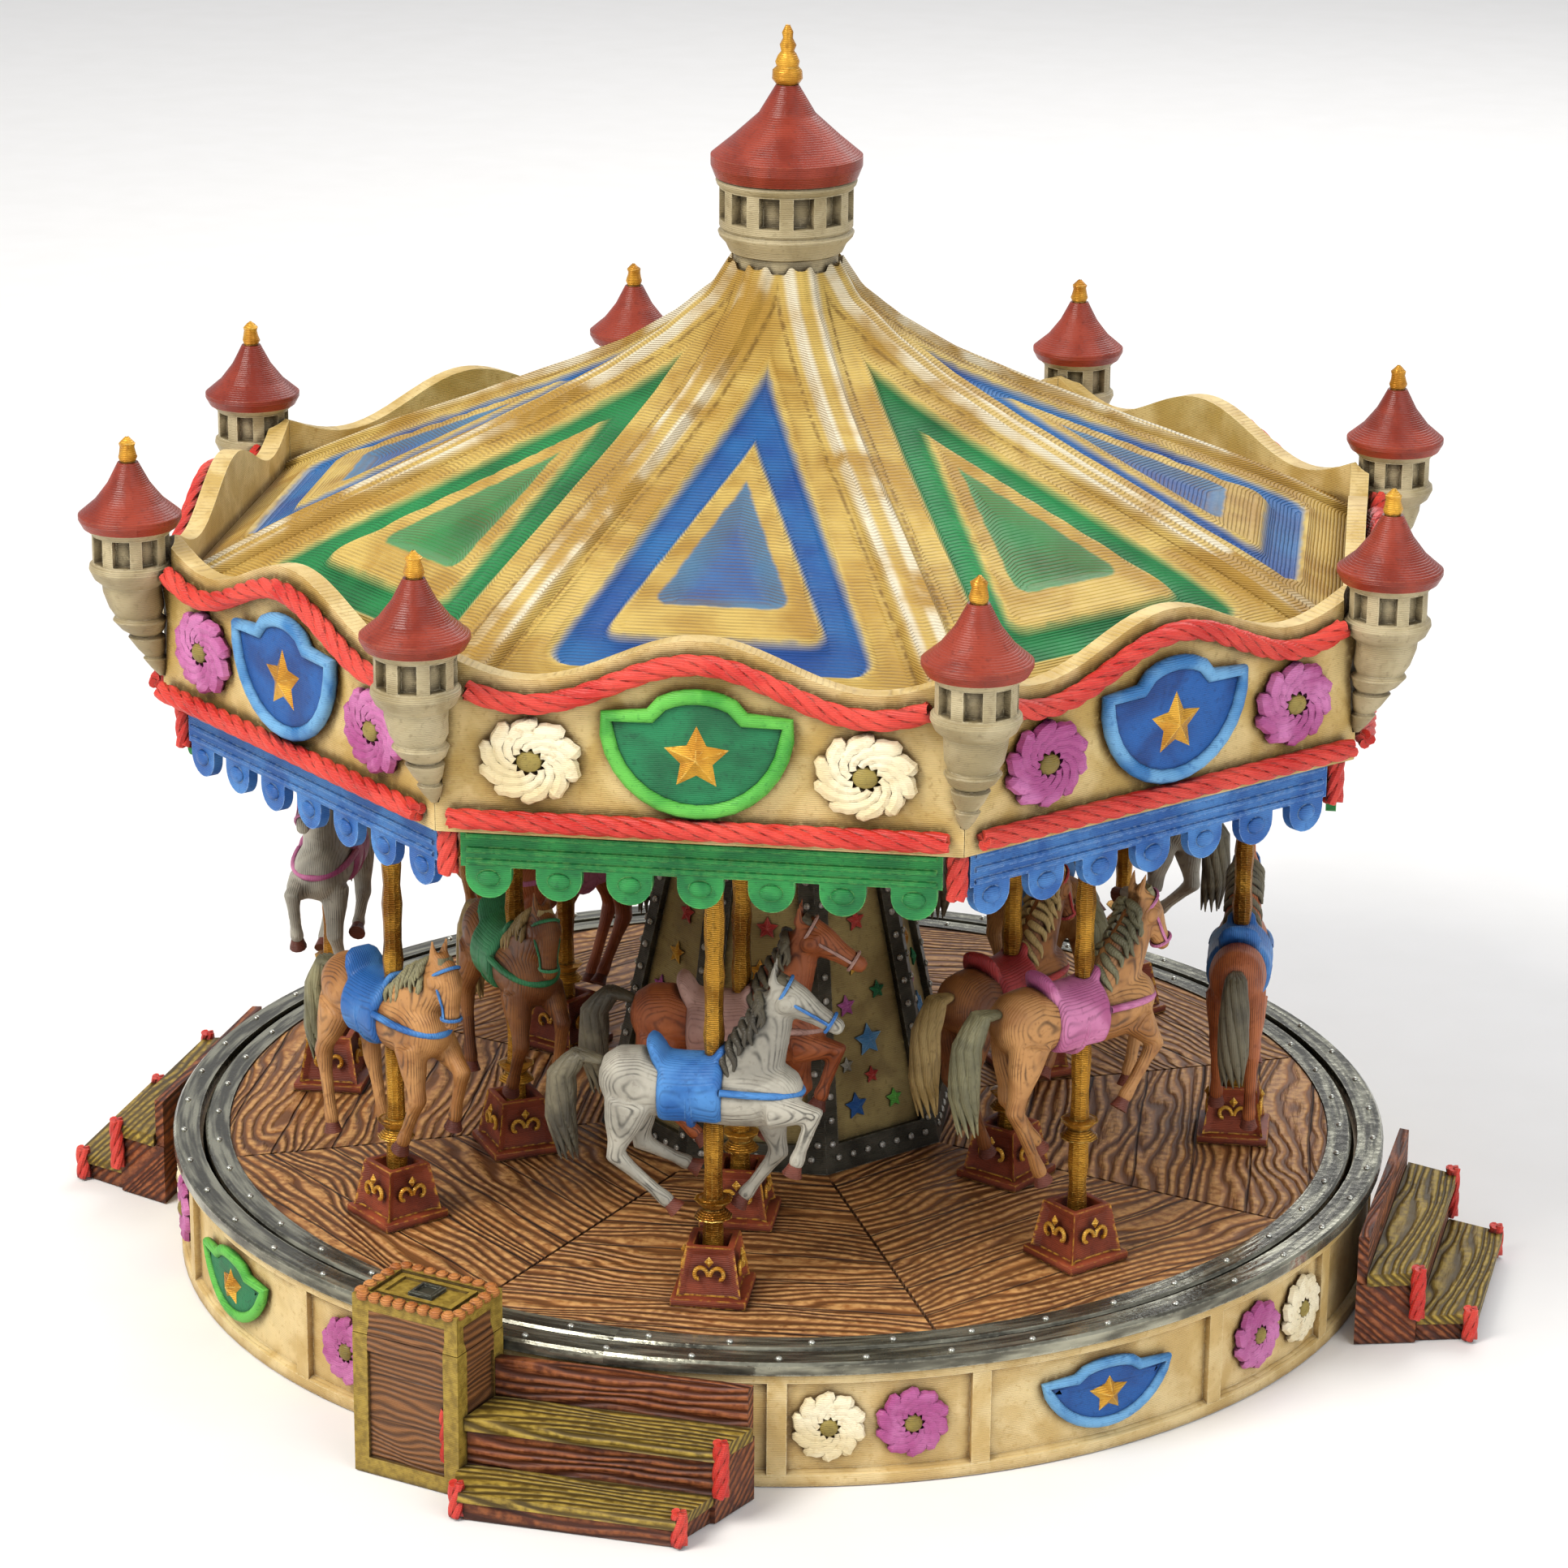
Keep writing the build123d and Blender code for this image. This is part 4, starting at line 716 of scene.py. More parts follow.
def roof_panel(angle, green):
    """One side of the roof: two half ribs, a sunk ring and a sunk core.

    The distances from their edges stay on the points as attributes, for the paint.
    """
    cos_half, tan_half = math.cos(HALF_SIDE), math.tan(HALF_SIDE)
    inner, outer = ROOF_LINE[0][0] * cos_half, ROOF_LINE[-1][0] * cos_half
    points, rings, cores, ribs = [], [], [], []
    shares = [("rib", s) for s in RIB_SHARES] + [("panel", s) for s in PANEL_SHARES]
    columns = [(-1, kind, s) for kind, s in shares]
    columns += [(1, kind, s) for kind, s in reversed(shares[:-1])]
    for row in range(ROOF_ROWS):
        a = inner + (outer - inner) * row / (ROOF_ROWS - 1)
        half = a * tan_half
        band = min(5.6, half * 0.8)
        radius = a / cos_half
        line = line_value(ROOF_LINE, radius)
        width = 2.7 + 1.2 * soft(radius, 20, 90)
        for side, kind, s in columns:
            t = half - band * s if kind == "rib" else (half - band) * (1 - s)
            distance = (half - t) * cos_half
            ring = max(triangle(a, t, *RING_EDGE), -triangle(a, t, *RING_HOLE))
            core = triangle(a, t, *CORE_EDGE)
            crest = 1.1 * soft(distance, width + 0.1, width - 0.8)
            crest += 0.6 * soft(abs(distance - width + 1.2), 0.9, 0.0)
            ledge = 0.45 * soft(distance, width + 1.5, width + 1.0)
            rib_height = max(crest, ledge) - 0.6 * soft(distance, 6.0, 3.0) * soft(radius, 14, 30)
            sink = -1.15 * soft(ring, 0.3, -1.3) - 1.2 * soft(core, 0.3, -3.2)
            bead = 0.35 * soft(abs(ring - 0.7), 0.9, 0.0)
            height = line + rib_height + sink + bead
            points.append(placed(0, 0, 0, angle) @ (Vector((side * t, -a, height)) * MM))
            rings.append(ring)
            cores.append(core)
            ribs.append(distance)
    count = len(columns)
    faces = [(r * count + c, (r + 1) * count + c, (r + 1) * count + c + 1, r * count + c + 1)
             for r in range(ROOF_ROWS - 1) for c in range(count - 1)]
    mesh = bpy.data.meshes.new("roof_panel")
    mesh.from_pydata(points, [], faces)
    greens = [green] * len(points)
    for label, values in (("ring", rings), ("core", cores), ("rib", ribs), ("green", greens)):
        layer = mesh.attributes.new(label, "FLOAT", "POINT")
        layer.data.foreach_set("value", values)
    return linked("roof_panel", mesh)


roof = joined([roof_panel(angle, float(k % 2)) for k, angle in enumerate(side_angles)], "roof_shell")
settle(roof)
# An open sheet has no outside, so it is turned to face up before it gets its thickness.
if sum(face.normal.z for face in roof.data.polygons) < 0:
    edit()
    bpy.ops.mesh.select_all(action="SELECT")
    bpy.ops.mesh.flip_normals()
    leave()
apply(roof, "SOLIDIFY", thickness=ROOF_THICK * MM, offset=-1.0, use_rim=True)
dress(roof, "roof", "rotor", ("canopy_roof", "roof_ribs"))

# ================================================================ ropes ==========
ROPE_OUT = 94.55
FASCIA_ROPE, FASCIA_LAY = 1.5, 15.0
POST_ROPE, STEP_ROPE, POST_LAY = 1.55, 1.2, 12.0
STRAIGHT_HALF, STRAIGHT_HEIGHT = 36.3, 101.2
WAVY_HALF, WAVY_MIDDLE, WAVE_HEIGHT, HALF_WAVE = 33.4, 122.5, 3.5, 25
POST_OUT, POST_FOOT, POST_TOP = 90.6 / math.cos(HALF_SIDE) - 0.6, 91.3, 98.5


def lifted(piece, x, out, height):
    """Moves a piece drawn in the XZ plane sideways, out from the axis and up."""
    piece.data.transform(Matrix.Translation(Vector((x, -out, height)) * MM))
    return piece


def spread(low, high, count):
    """Evenly spaced values from low to high."""
    return [low + (high - low) * i / (count - 1) for i in range(count)]


straight_path = [(x, 0, STRAIGHT_HEIGHT) for x in spread(-STRAIGHT_HALF, STRAIGHT_HALF, 67)]
wavy_path = [(x, 0, WAVY_MIDDLE + WAVE_HEIGHT * math.cos(math.pi * x / HALF_WAVE))
             for x in spread(-WAVY_HALF, WAVY_HALF, 67)]
straight_rope = lifted(rope(straight_path, FASCIA_ROPE, "straight_rope", FASCIA_LAY), 0, ROPE_OUT, 0)
wavy_rope = lifted(rope(wavy_path, FASCIA_ROPE, "wavy_rope", FASCIA_LAY), 0, ROPE_OUT, 0)
post_path = [(0, 0, height) for height in spread(POST_FOOT, POST_TOP, 9)]
post_rope = rope(post_path, POST_ROPE, "post_rope", POST_LAY)
front_places = [spot(0, angle) for angle in side_angles]
post_places = [spot(POST_OUT * MM, angle) for angle in corner_angles]
ropes = joined([repeated(straight_rope, front_places, "straight_ropes"),
                repeated(wavy_rope, front_places, "wavy_ropes"),
                repeated(post_rope, post_places, "post_ropes")], "fascia_rope_work")
dress(settle(ropes), "red", "rotor", ("fascia_ropes",))

step_ropes = []
for across, out, low, high in ((17.0, 118.9, 0.3, 5.6), (21.0, 110.8, 4.7, 13.4)):
    for side in (-1, 1):
        path = [(0, 0, height) for height in spread(low, high, 10)]
        step_ropes.append(lifted(rope(path, STEP_ROPE, "step_rope", POST_LAY), side * across, out, 0))
step_set = repeated(joined(step_ropes, "step_rope_set"), [spot(0, angle) for angle in quarter_angles],
                    "step_rope_work")
dress(settle(step_set), "red", "base", ("stair_ropes",))


# ================================================ shields, stars and rosettes =====

def shield_points(width, height, steps=16):
    """The outline of a shield: round foot, two shoulders and a raised crown."""
    half, shoulder = width / 2, height * 0.30
    drop = shoulder + height * 0.5
    foot_radius = (half * half + drop * drop) / (2 * drop)
    centre = -height * 0.5 + foot_radius
    reach = math.atan2(half, centre - shoulder)
    points = []
    for i in range(steps + 1):
        angle = -reach + 2 * reach * i / steps
        points.append((foot_radius * math.sin(angle), centre - foot_radius * math.cos(angle)))
    neck, base = half * 0.52, shoulder + height * 0.02
    lift = height * 0.5 - base
    for i in range(steps // 2 + 1):
        u = 1 - 2 * i / (steps // 2)
        points.append((neck * u, base + lift * math.sqrt(max(0.0, 1 - u * u)) ** 1.2))
    return points


def plate(outline, thick, name, bulge=0.0):
    """A closed plate standing in the XZ plane, its back at y 0 and its face towards -Y."""
    mesh = bpy.data.meshes.new(name)
    mesh.from_pydata([(x * MM, 0, z * MM) for x, z in outline], [], [list(range(len(outline)))])
    only(linked(name, mesh))
    edit()
    bpy.ops.mesh.select_all(action="SELECT")
    bpy.ops.mesh.extrude_region_move(TRANSFORM_OT_translate={"value": (0, -thick * MM, 0)})
    bpy.ops.mesh.inset(thickness=0.5 * MM, depth=0.0)
    bpy.ops.transform.translate(value=(0, -bulge * MM, 0))
    bpy.ops.mesh.inset(thickness=1.2 * MM, depth=0.0)
    bpy.ops.transform.translate(value=(0, -bulge * 0.6 * MM, 0))
    return settle(leave())


def star(radius, thick, ridge, name, points=5, share=0.5):
    """A ridged star standing in the XZ plane; share is its notches' part of the radius."""
    deselect()
    bpy.ops.mesh.primitive_circle_add(vertices=points * 2, radius=radius * MM, fill_type="TRIFAN",
                                      rotation=(math.pi / 2, 0, 0))
    bpy.ops.object.transform_apply(rotation=True)
    piece = bpy.context.object
    piece.name = name
    for vertex in piece.data.vertices:
        if vertex.co.length < 0.1 * radius * MM:
            vertex.co = Vector((0, -thick - ridge, 0)) * MM
            continue
        number = round((math.atan2(vertex.co.z, vertex.co.x) - math.pi / 2) * points / math.pi)
        turn = math.pi / 2 + math.pi * number / points
        reach = radius if number % 2 == 0 else radius * share
        vertex.co = Vector((reach * math.cos(turn), -thick * 0.6, reach * math.sin(turn))) * MM
    apply(piece, "SOLIDIFY", thickness=thick * 0.6 * MM, offset=-1.0)
    return settle(piece)


def shield_set(width, height, depth, border, star_radius):
    """Border, field and star of one shield, drawn in the XZ plane."""
    outline = shield_points(width - 2 * border, height - 2 * border)
    closed = [(x, -depth * 0.55, z) for x, z in outline]
    rim = tube([closed], border, "shield_rim", 12, closed=True)
    rim.data.transform(Matrix.Diagonal((1, min(1.0, depth * 0.75 / border), 1, 1)))
    field = plate(outline, depth * 0.5, "shield_field", 0.25)
    middle = star(star_radius, depth * 0.55 + 0.3, 1.1, "shield_star")
    return settle(rim), field, lifted(middle, 0, 0, -0.03 * height)


def rosette(half_wide, half_high, depth, name, arms=10):
    """Rope ends wound round a boss: each arm sweeps outwards and swells."""
    routes, swells = [], []
    for arm in range(arms):
        route, swell = [], []
        for i in range(15):
            share = i / 14
            reach = 0.27 + 0.60 * share
            turn = math.tau * arm / arms - 1.75 * share
            pinch = 0.9 + 0.1 * math.cos(share * math.tau * 4.0)
            route.append((half_wide * reach * math.cos(turn), -depth * (0.62 - 0.18 * share ** 2),
                          half_high * reach * math.sin(turn)))
            swell.append((0.62 + 0.62 * share) * pinch if i < 14 else 0.6)
        routes.append(route)
        swells.append(swell)
    thick = 0.5 * math.tau * half_high * 0.62 / arms
    arms_piece = tube(routes, thick, name + "_arms", 10, swells)
    arms_piece.data.transform(Matrix.Diagonal((1, min(1.0, depth * 0.55 / thick), 1, 1)))
    deselect()
    bpy.ops.mesh.primitive_uv_sphere_add(segments=14, ring_count=8, radius=MM)
    bpy.ops.transform.resize(value=(half_wide * 0.27, depth * 0.75, half_high * 0.27))
    bpy.ops.transform.translate(value=(0, -depth * 0.45 * MM, 0))
    boss = bpy.context.object
    boss.name = name + "_boss"
    return settle(arms_piece), settle(boss)


def wrapped(piece, radius=DRUM_FACE, height=DRUM_MIDDLE):
    """Bends a piece drawn in the XZ plane round a drum, with its middle at a height."""
    for vertex in piece.data.vertices:
        turn = vertex.co.x / (radius * MM)
        reach = radius * MM - vertex.co.y
        vertex.co = Vector((reach * math.sin(turn), -reach * math.cos(turn), vertex.co.z + height * MM))
    return piece


def alternating(piece, places, name, even, odd, body, replaces=()):
    """Copies at every other place in one paint and at the rest in another."""
    source = copy_to(piece, Matrix.Identity(4))
    first = repeated(source, places[0::2], name + "_a")
    second = repeated(piece, places[1::2], name + "_b")
    dress(first, even, body, replaces)
    dress(second, odd, body)
    return first, second


rim, field, middle = [lifted(piece, 0, FASCIA_FACE, SHIELD_HEIGHT)
                      for piece in shield_set(28.4, 19.6, 2.4, 1.15, 7.7)]
alternating(rim, front_places, "fascia_shield_rims", "green_border", "blue_border", "rotor",
            ("fascia_shields",))
alternating(field, front_places, "fascia_shield_fields", "green_field", "blue_field", "rotor")
dress(repeated(middle, front_places, "fascia_stars"), "gold", "rotor", angle=20)

arms, boss = rosette(8.0, 6.6, 2.2, "fascia_rosette")
for piece, label, even, odd, paint_slot in (
    (arms, "fascia_rosette_ropes", "rope_cream", "rope_pink", "cream_paint"),
    (boss, "fascia_rosette_bosses", "boss", "boss", "gem_paint"),
):
    both = repeated(piece, [placed(x * MM, -FASCIA_FACE * MM, ROSETTE_HEIGHT * MM)
                            for x in (-ROSETTE_SIDE, ROSETTE_SIDE)], label)
    alternating(both, front_places, label, even, odd, "rotor",
                ("fascia_rosettes",) if label.endswith("ropes") else ())

drum_places = [spot(0, angle + math.radians(45.0)) for angle in quarter_angles]
rim, field, middle = [wrapped(piece) for piece in shield_set(23.5, 11.6, 1.8, 0.9, 4.4)]
alternating(rim, drum_places, "base_shield_rims", "blue_border", "green_border", "base",
            ("base_shields",))
alternating(field, drum_places, "base_shield_fields", "blue_field", "green_field", "base")
dress(repeated(middle, drum_places, "base_stars"), "gold", "base", angle=20)

for angle_out, paint, label, replaced in ((19.3, "rope_cream", "base_cream_rosettes", ("base_rosettes",)),
                                          (26.6, "rope_pink", "base_pink_rosettes", ())):
    arms, boss = [wrapped(piece) for piece in rosette(5.7, 5.7, 1.7, label)]
    places = [spot(0, quarter + math.radians(side * angle_out))
              for quarter in quarter_angles for side in (-1, 1)]
    dress(repeated(arms, places, label), paint, "base", replaced)
    dress(repeated(boss, places, label + "_bosses"), "boss", "base")

# ============================================================ valances ===========

VALANCE_HALF, VALANCE_TOP, VALANCE_FOOT, VALANCE_THICK = 35.3, 98.5, 92.6, 1.6
LOBE_PITCH, LOBE_RADIUS, LOBE_MIDDLE, LOBES = 10.4, 3.4, 91.2, 7


def valance_piece():
    """One side's hanging border with its raised lines, round lobes and a bead on each lobe."""
    lobes = [LOBE_PITCH * (k - LOBES // 2) for k in range(LOBES)]
    outline = [(-VALANCE_HALF, VALANCE_TOP), (VALANCE_HALF, VALANCE_TOP), (VALANCE_HALF, VALANCE_FOOT)]
    for lobe in reversed(lobes):
        outline.append((lobe + LOBE_RADIUS, VALANCE_FOOT))
        for turn in spread(0.0, math.pi, 13):
            outline.append((lobe + LOBE_RADIUS * math.cos(turn), LOBE_MIDDLE - LOBE_RADIUS * math.sin(turn)))
        outline.append((lobe - LOBE_RADIUS, VALANCE_FOOT))
    outline.append((-VALANCE_HALF, VALANCE_FOOT))
    piece = plate(list(reversed(outline)), VALANCE_THICK, "valance_plate")
    extras = []
    for height in (97.4, 95.2, 93.4):
        path = [(x, -VALANCE_THICK, height) for x in (0.9 - VALANCE_HALF, VALANCE_HALF - 0.9)]
        extras.append(tube([path], 0.42, "valance_line"))
    deselect()
    for lobe in lobes:
        bpy.ops.mesh.primitive_uv_sphere_add(segments=12, ring_count=8, radius=MM)
        bpy.ops.transform.resize(value=(1.7, 0.7, 1.25))
        bpy.ops.transform.translate(value=(lobe * MM, -1.7 * MM, 90.9 * MM))
        extras.append(bpy.context.object)
    return lifted(settle(joined([piece] + extras, "valance_side")), 0, VALANCE_FACE, 0)


alternating(valance_piece(), front_places, "valance_borders", "green_valance", "blue_valance", "rotor",
            ("valances",))


# ================================================================ poles ==========
# How high each pole stands in its slide at rest, and where it stands: (distance, angle).
OUTER_LIFT = (3.52, 10.72, 1.13, 7.49, 8.08, 0.88, 10.47, 4.11)
INNER_LIFT = (2.4,) * 6
POLE_RADIUS, COLLAR_RADIUS, POLE_TOP = 1.5, 3.0, 105.5
lifts = OUTER_LIFT + INNER_LIFT
row_names = ["outer_%d" % (i + 1) for i in range(8)] + ["inner_%d" % (i + 1) for i in range(6)]
pole_spots = [(OUTER_ROW, angle) for angle in side_angles]
pole_spots += [(INNER_ROW, ROTOR_TURN + math.radians(60.0) * i) for i in range(6)]

pole_sections = [(1.6, 3.7), (3.1, 3.9), (3.1, 5.6), (POLE_RADIUS, 5.7)]
for i, height in enumerate(spread(6.6, POLE_TOP, 33)):
    if not 27.0 < height < 35.0:
        pole_sections.append((POLE_RADIUS + 0.17 * math.sin(i * 2.3), height))
pole_sections += [(POLE_RADIUS, 29.4), (COLLAR_RADIUS, 29.6), (1.7, 31.0), (COLLAR_RADIUS, 32.4),
                  (POLE_RADIUS, 32.6)]
pole_sections.sort(key=lambda section: section[1])
pole_pattern = tower(pole_sections, 10, "pole_pattern")
for (reach, angle), row, lift in zip(pole_spots, row_names, lifts):
    made = copy_to(pole_pattern, spot(reach * MM, angle, lift * MM))
    made.name = "gilt_pole_" + row
    dress(made, "pole", "horse_%s_and_pole" % row, ("pole_" + row,), angle=30)
bpy.data.objects.remove(pole_pattern)

# ============================================================ pedestals ==========
PEDESTAL_FOOT, PEDESTAL_HEAD, PEDESTAL_TALL, PEDESTAL_MIDDLE = 10.6, 7.6, 9.2, 24.8
WELL_DEEP = 4.4
PLINTH_WIDE, PLINTH_TALL = 11.7, 1.4


def box(wide, deep, tall, middle):
    """A box with its middle at a place, all in millimetres."""
    deselect()
    bpy.ops.mesh.primitive_cube_add(size=1.0, location=Vector(middle) * MM)
    bpy.ops.transform.resize(value=(wide * MM, deep * MM, tall * MM))
    return settle(bpy.context.object)


pedestal = box(PEDESTAL_FOOT, PEDESTAL_FOOT, PEDESTAL_TALL, (0, 0, PEDESTAL_MIDDLE))
edit()
choose_faces(pedestal, lambda centre, normal: normal.z > 0.5)
bpy.ops.transform.resize(value=(PEDESTAL_HEAD / PEDESTAL_FOOT, PEDESTAL_HEAD / PEDESTAL_FOOT, 1))
choose_faces(pedestal, lambda centre, normal: abs(normal.z) < 0.5)
bpy.ops.mesh.inset(thickness=1.3 * MM, depth=-0.9 * MM, use_individual=True)
choose_faces(pedestal, lambda centre, normal: normal.z > 0.5 and centre.z > 29.0 * MM)
bpy.ops.mesh.inset(thickness=1.2 * MM, depth=0.0)
bpy.ops.mesh.extrude_region_move(TRANSFORM_OT_translate={"value": (0, 0, -WELL_DEEP * MM)})
settle(leave())
plinth = box(PLINTH_WIDE, PLINTH_WIDE, PLINTH_TALL, (0, 0, DECK_TOP + PLINTH_TALL / 2))
apply(plinth, "BEVEL", width=0.3 * MM, segments=2)
apply(pedestal, "BEVEL", width=0.22 * MM, segments=2)
box_pattern = joined([pedestal, plinth], "pedestal_pattern")
curl = []
for side in (-1, 1):
    route = []
    for share in spread(0.0, 1.0, 15):
        turn = share * 4.6
        reach = 1.35 * (1 - 0.7 * share)
        route.append((side * (1.5 - reach * math.cos(turn)), 0, 25.0 + reach * math.sin(turn) * 1.25))
    curl.append(route)
curls = lifted(tube(curl, 0.34, "curls"), 0, 4.35, 0)
gem = lifted(star(0.9, 0.4, 0.4, "lozenge", 2, 0.8), 0, 4.2, 27.3)
ornament = settle(joined([curls, gem], "pedestal_ornament"))
ornament = repeated(ornament, [spot(0, angle) for angle in quarter_angles], "pedestal_ornament")
pedestal_places = [spot(reach * MM, angle) for reach, angle in pole_spots]
dress(repeated(box_pattern, pedestal_places, "pedestal_boxes"), "pedestal", "rotor",
      ("pedestals",))
dress(repeated(ornament, pedestal_places, "pedestal_ornaments"), "gold", "rotor")

# =============================================================== column ==========
FOOT_APOTHEM = FOOT_RADIUS * math.cos(HALF_SIDE)
HEAD_APOTHEM = HEAD_RADIUS * math.cos(HALF_SIDE)
LEAN = math.atan2(FOOT_APOTHEM - HEAD_APOTHEM, COLUMN_TOP - DECK_TOP)
SLOPE = math.hypot(FOOT_APOTHEM - HEAD_APOTHEM, COLUMN_TOP - DECK_TOP)


def on_panel(piece, across, up, out=0.0):
    """Lays a piece drawn in the XZ plane on the front face of the column."""
    height = DECK_TOP + up * math.cos(LEAN)
    apothem = FOOT_APOTHEM - up * math.sin(LEAN) + out
    piece.data.transform(Matrix.Translation(Vector((across, -apothem, height)) * MM)
                         @ Matrix.Rotation(-LEAN, 4, "X"))
    return piece


# The stars of one panel: across, up the slope, radius and paint.
panel_stars = (
    (-3.6, 9.4, 2.3, "blue_field"), (4.2, 9.0, 1.7, "green_border"), (0.2, 13.8, 1.5, "star_red"),
    (-4.6, 16.4, 1.4, "star_silver"), (0.3, 19.6, 2.8, "blue_border"), (-3.4, 26.0, 1.9, "star_magenta"),
    (3.2, 27.4, 1.6, "green_field"), (-0.6, 32.4, 2.0, "gold"), (0.4, 39.5, 1.9, "star_red"),
    (0.0, 47.0, 1.5, "blue_border"),
)
for number, (across, up, radius, paint) in enumerate(panel_stars):
    pointed = on_panel(star(radius, 0.5, 0.35, "column_star"), across, up, -1.2)
    label = "column_star_%02d" % (number + 1)
    dress(repeated(pointed, front_places, label), paint, "rotor",
          ("column_stars",) if number == 0 else (), angle=20)

STUD_RADIUS, STUD_PITCH = 0.62, 3.9
studs = []
for side in (-1, 1):
    for i in range(19):
        up = 4.8 + i * STUD_PITCH
        if up > SLOPE - 3.0:
            continue
        half = (FOOT_RADIUS + (HEAD_RADIUS - FOOT_RADIUS) * up / SLOPE) * math.sin(HALF_SIDE) - 1.3
        studs.append((side * half, up))
for i in range(-3, 4):
    studs.append((i * 3.0, 2.4))
stud_pieces = []
for across, up in studs:
    deselect()
    bpy.ops.mesh.primitive_ico_sphere_add(subdivisions=2, radius=STUD_RADIUS * MM)
    bpy.ops.transform.resize(value=(1, 0.7, 1))
    stud = bpy.context.object
    bpy.ops.object.transform_apply(scale=True)
    stud_pieces.append(on_panel(stud, across, up, 0.05))
stud_set = joined(stud_pieces, "stud_set")
dress(repeated(stud_set, front_places, "column_rivets"), "silver", "rotor")

# ============================================================== turrets ==========

def windows(piece, count, low, high, width, depth, radius, turn=0.0):
    """Sinks upright windows in a round drum: the faces between two heights pushed inwards."""
    edit()
    step = math.tau / count

    def chosen(centre, normal):
        angle = math.atan2(centre.y, centre.x) - turn
        offset = abs((angle + step / 2) % step - step / 2)
        upright = abs(normal.z) < 0.5 and low * MM < centre.z < high * MM
        return upright and offset * radius < width / 2

    choose_faces(piece, chosen)
    bpy.ops.mesh.inset(thickness=0.18 * MM, depth=0.0)
    bpy.ops.mesh.extrude_region_shrink_fatten(TRANSFORM_OT_shrink_fatten={"value": -depth * MM})
    return settle(leave())


corner_turret = tower([(0.5, 103.1, 4.2), (1.3, 104.4, 3.8), (1.9, 106.0, 3.2), (1.5, 106.4, 3.1),
                       (2.2, 107.6, 2.7), (2.9, 109.6, 2.0), (2.4, 110.1, 1.9), (3.4, 111.0, 1.5),
                       (4.2, 112.5, 1.0), (3.6, 113.2, 0.8), (4.3, 114.6, 0.6), (4.6, 117.2, 0.0),
                       (4.7, 118.4, 0.0), (5.9, 119.4, 0.0), (6.6, 120.9, 0.0), (6.5, 121.6, 0.0),
                       (6.0, 122.0, 0.0), (6.0, 126.6, 0.0), (6.5, 127.0, 0.0), (6.8, 127.5, 0.0)],
                      48, "corner_turret")
windows(corner_turret, 8, 122.1, 126.5, 3.0, 1.3, 6.0, HALF_SIDE)
turret_places = [spot(TURRET_ROW * MM, angle) for angle in corner_angles]
dress(repeated(corner_turret, turret_places, "turret_towers"), "stone", "rotor",
      ("turret_bodies",), angle=30)

crown = tower([(8.3, 163.6), (8.3, 165.8), (9.0, 166.2), (9.6, 167.5), (10.6, 168.6), (10.8, 169.2),
               (10.3, 169.7), (10.6, 170.2), (10.6, 171.2), (10.6, 176.4), (11.0, 176.8), (11.2, 177.4),
               (10.9, 177.9)], 72, "crown_tower")
windows(crown, 12, 171.3, 176.3, 2.9, 1.8, 10.6)
stem = tower([(4.9, 92.0), (4.9, 163.8)], 24, "crown_stem")
dress(settle(joined([crown, stem], "crown_tower")), "stone", "rotor", ("crown_turret",),
      angle=30)

corner_finial = tower([(1.2, 137.8), (1.5, 138.6), (1.3, 139.3), (1.1, 140.2), (1.3, 140.8), (0.6, 141.4),
                       (0.2, 141.8)], 12, "corner_finial")
crown_finial = tower([(1.8, 192.4), (2.4, 193.3), (2.3, 194.6), (1.7, 195.2), (2.0, 196.0), (1.5, 197.0),
                      (1.0, 197.6), (1.3, 198.6), (0.8, 199.6), (0.9, 200.6), (0.3, 201.7)], 14,
                     "crown_finial")
finial_set = joined([repeated(corner_finial, turret_places, "corner_finials"), crown_finial], "gilt_finials")
edit()
bpy.ops.mesh.select_all(action="SELECT")
bpy.ops.transform.vertex_random(offset=0.12 * MM, uniform=0.5, seed=3)
leave()
dress(finial_set, "gold", "rotor", ("finials",), angle=60)

# ============================================================ booth lid ==========
LID_WIDE, LID_DEEP, LID_TALL, LID_MIDDLE = 18.4, 12.5, 6.2, 25.8
KNOB_RADIUS, KNOB_HEIGHT = 1.12, 28.75
lid = box(LID_WIDE, LID_DEEP, LID_TALL, (0, -BOOTH_REACH, LID_MIDDLE))
edit()
choose_faces(lid, lambda centre, normal: normal.z > 0.5)
for border, step in ((1.7, -0.5), (0.9, 0.45), (0.9, -0.4)):
    bpy.ops.mesh.inset(thickness=border * MM, depth=0.0)
    bpy.ops.mesh.extrude_region_move(TRANSFORM_OT_translate={"value": (0, 0, step * MM)})
choose_faces(lid, lambda centre, normal: abs(normal.z) < 0.5 and centre.z < 28 * MM)
bpy.ops.mesh.inset(thickness=1.6 * MM, depth=-0.5 * MM, use_individual=True)
lid = settle(leave())
rim_path = [Vector((LID_WIDE / 2 * x, LID_DEEP / 2 * y)) for x, y in ((-1, -1), (1, -1), (1, 1), (-1, 1))]
knob_pieces = []
for start, stop, count in zip(rim_path, rim_path[1:] + rim_path[:1], (8, 5, 8, 5)):
    for k in range(count):
        place = (start + (stop - start) * ((k + 0.5) / count)) * 0.93
        deselect()
        bpy.ops.mesh.primitive_ico_sphere_add(
            subdivisions=2, radius=KNOB_RADIUS * MM,
            location=Vector((place.x, place.y - BOOTH_REACH, KNOB_HEIGHT)) * MM)
        bpy.ops.transform.resize(value=(1.0, 1.0, 0.75))
        knob_pieces.append(settle(bpy.context.object))
carved = joined(knob_pieces, "booth_carved_rim")
slot_plate = tower([(2.9, 28.4), (2.9, 29.0), (2.5, 29.2), (2.1, 29.2), (2.1, 28.7)], 4, "slot_plate")
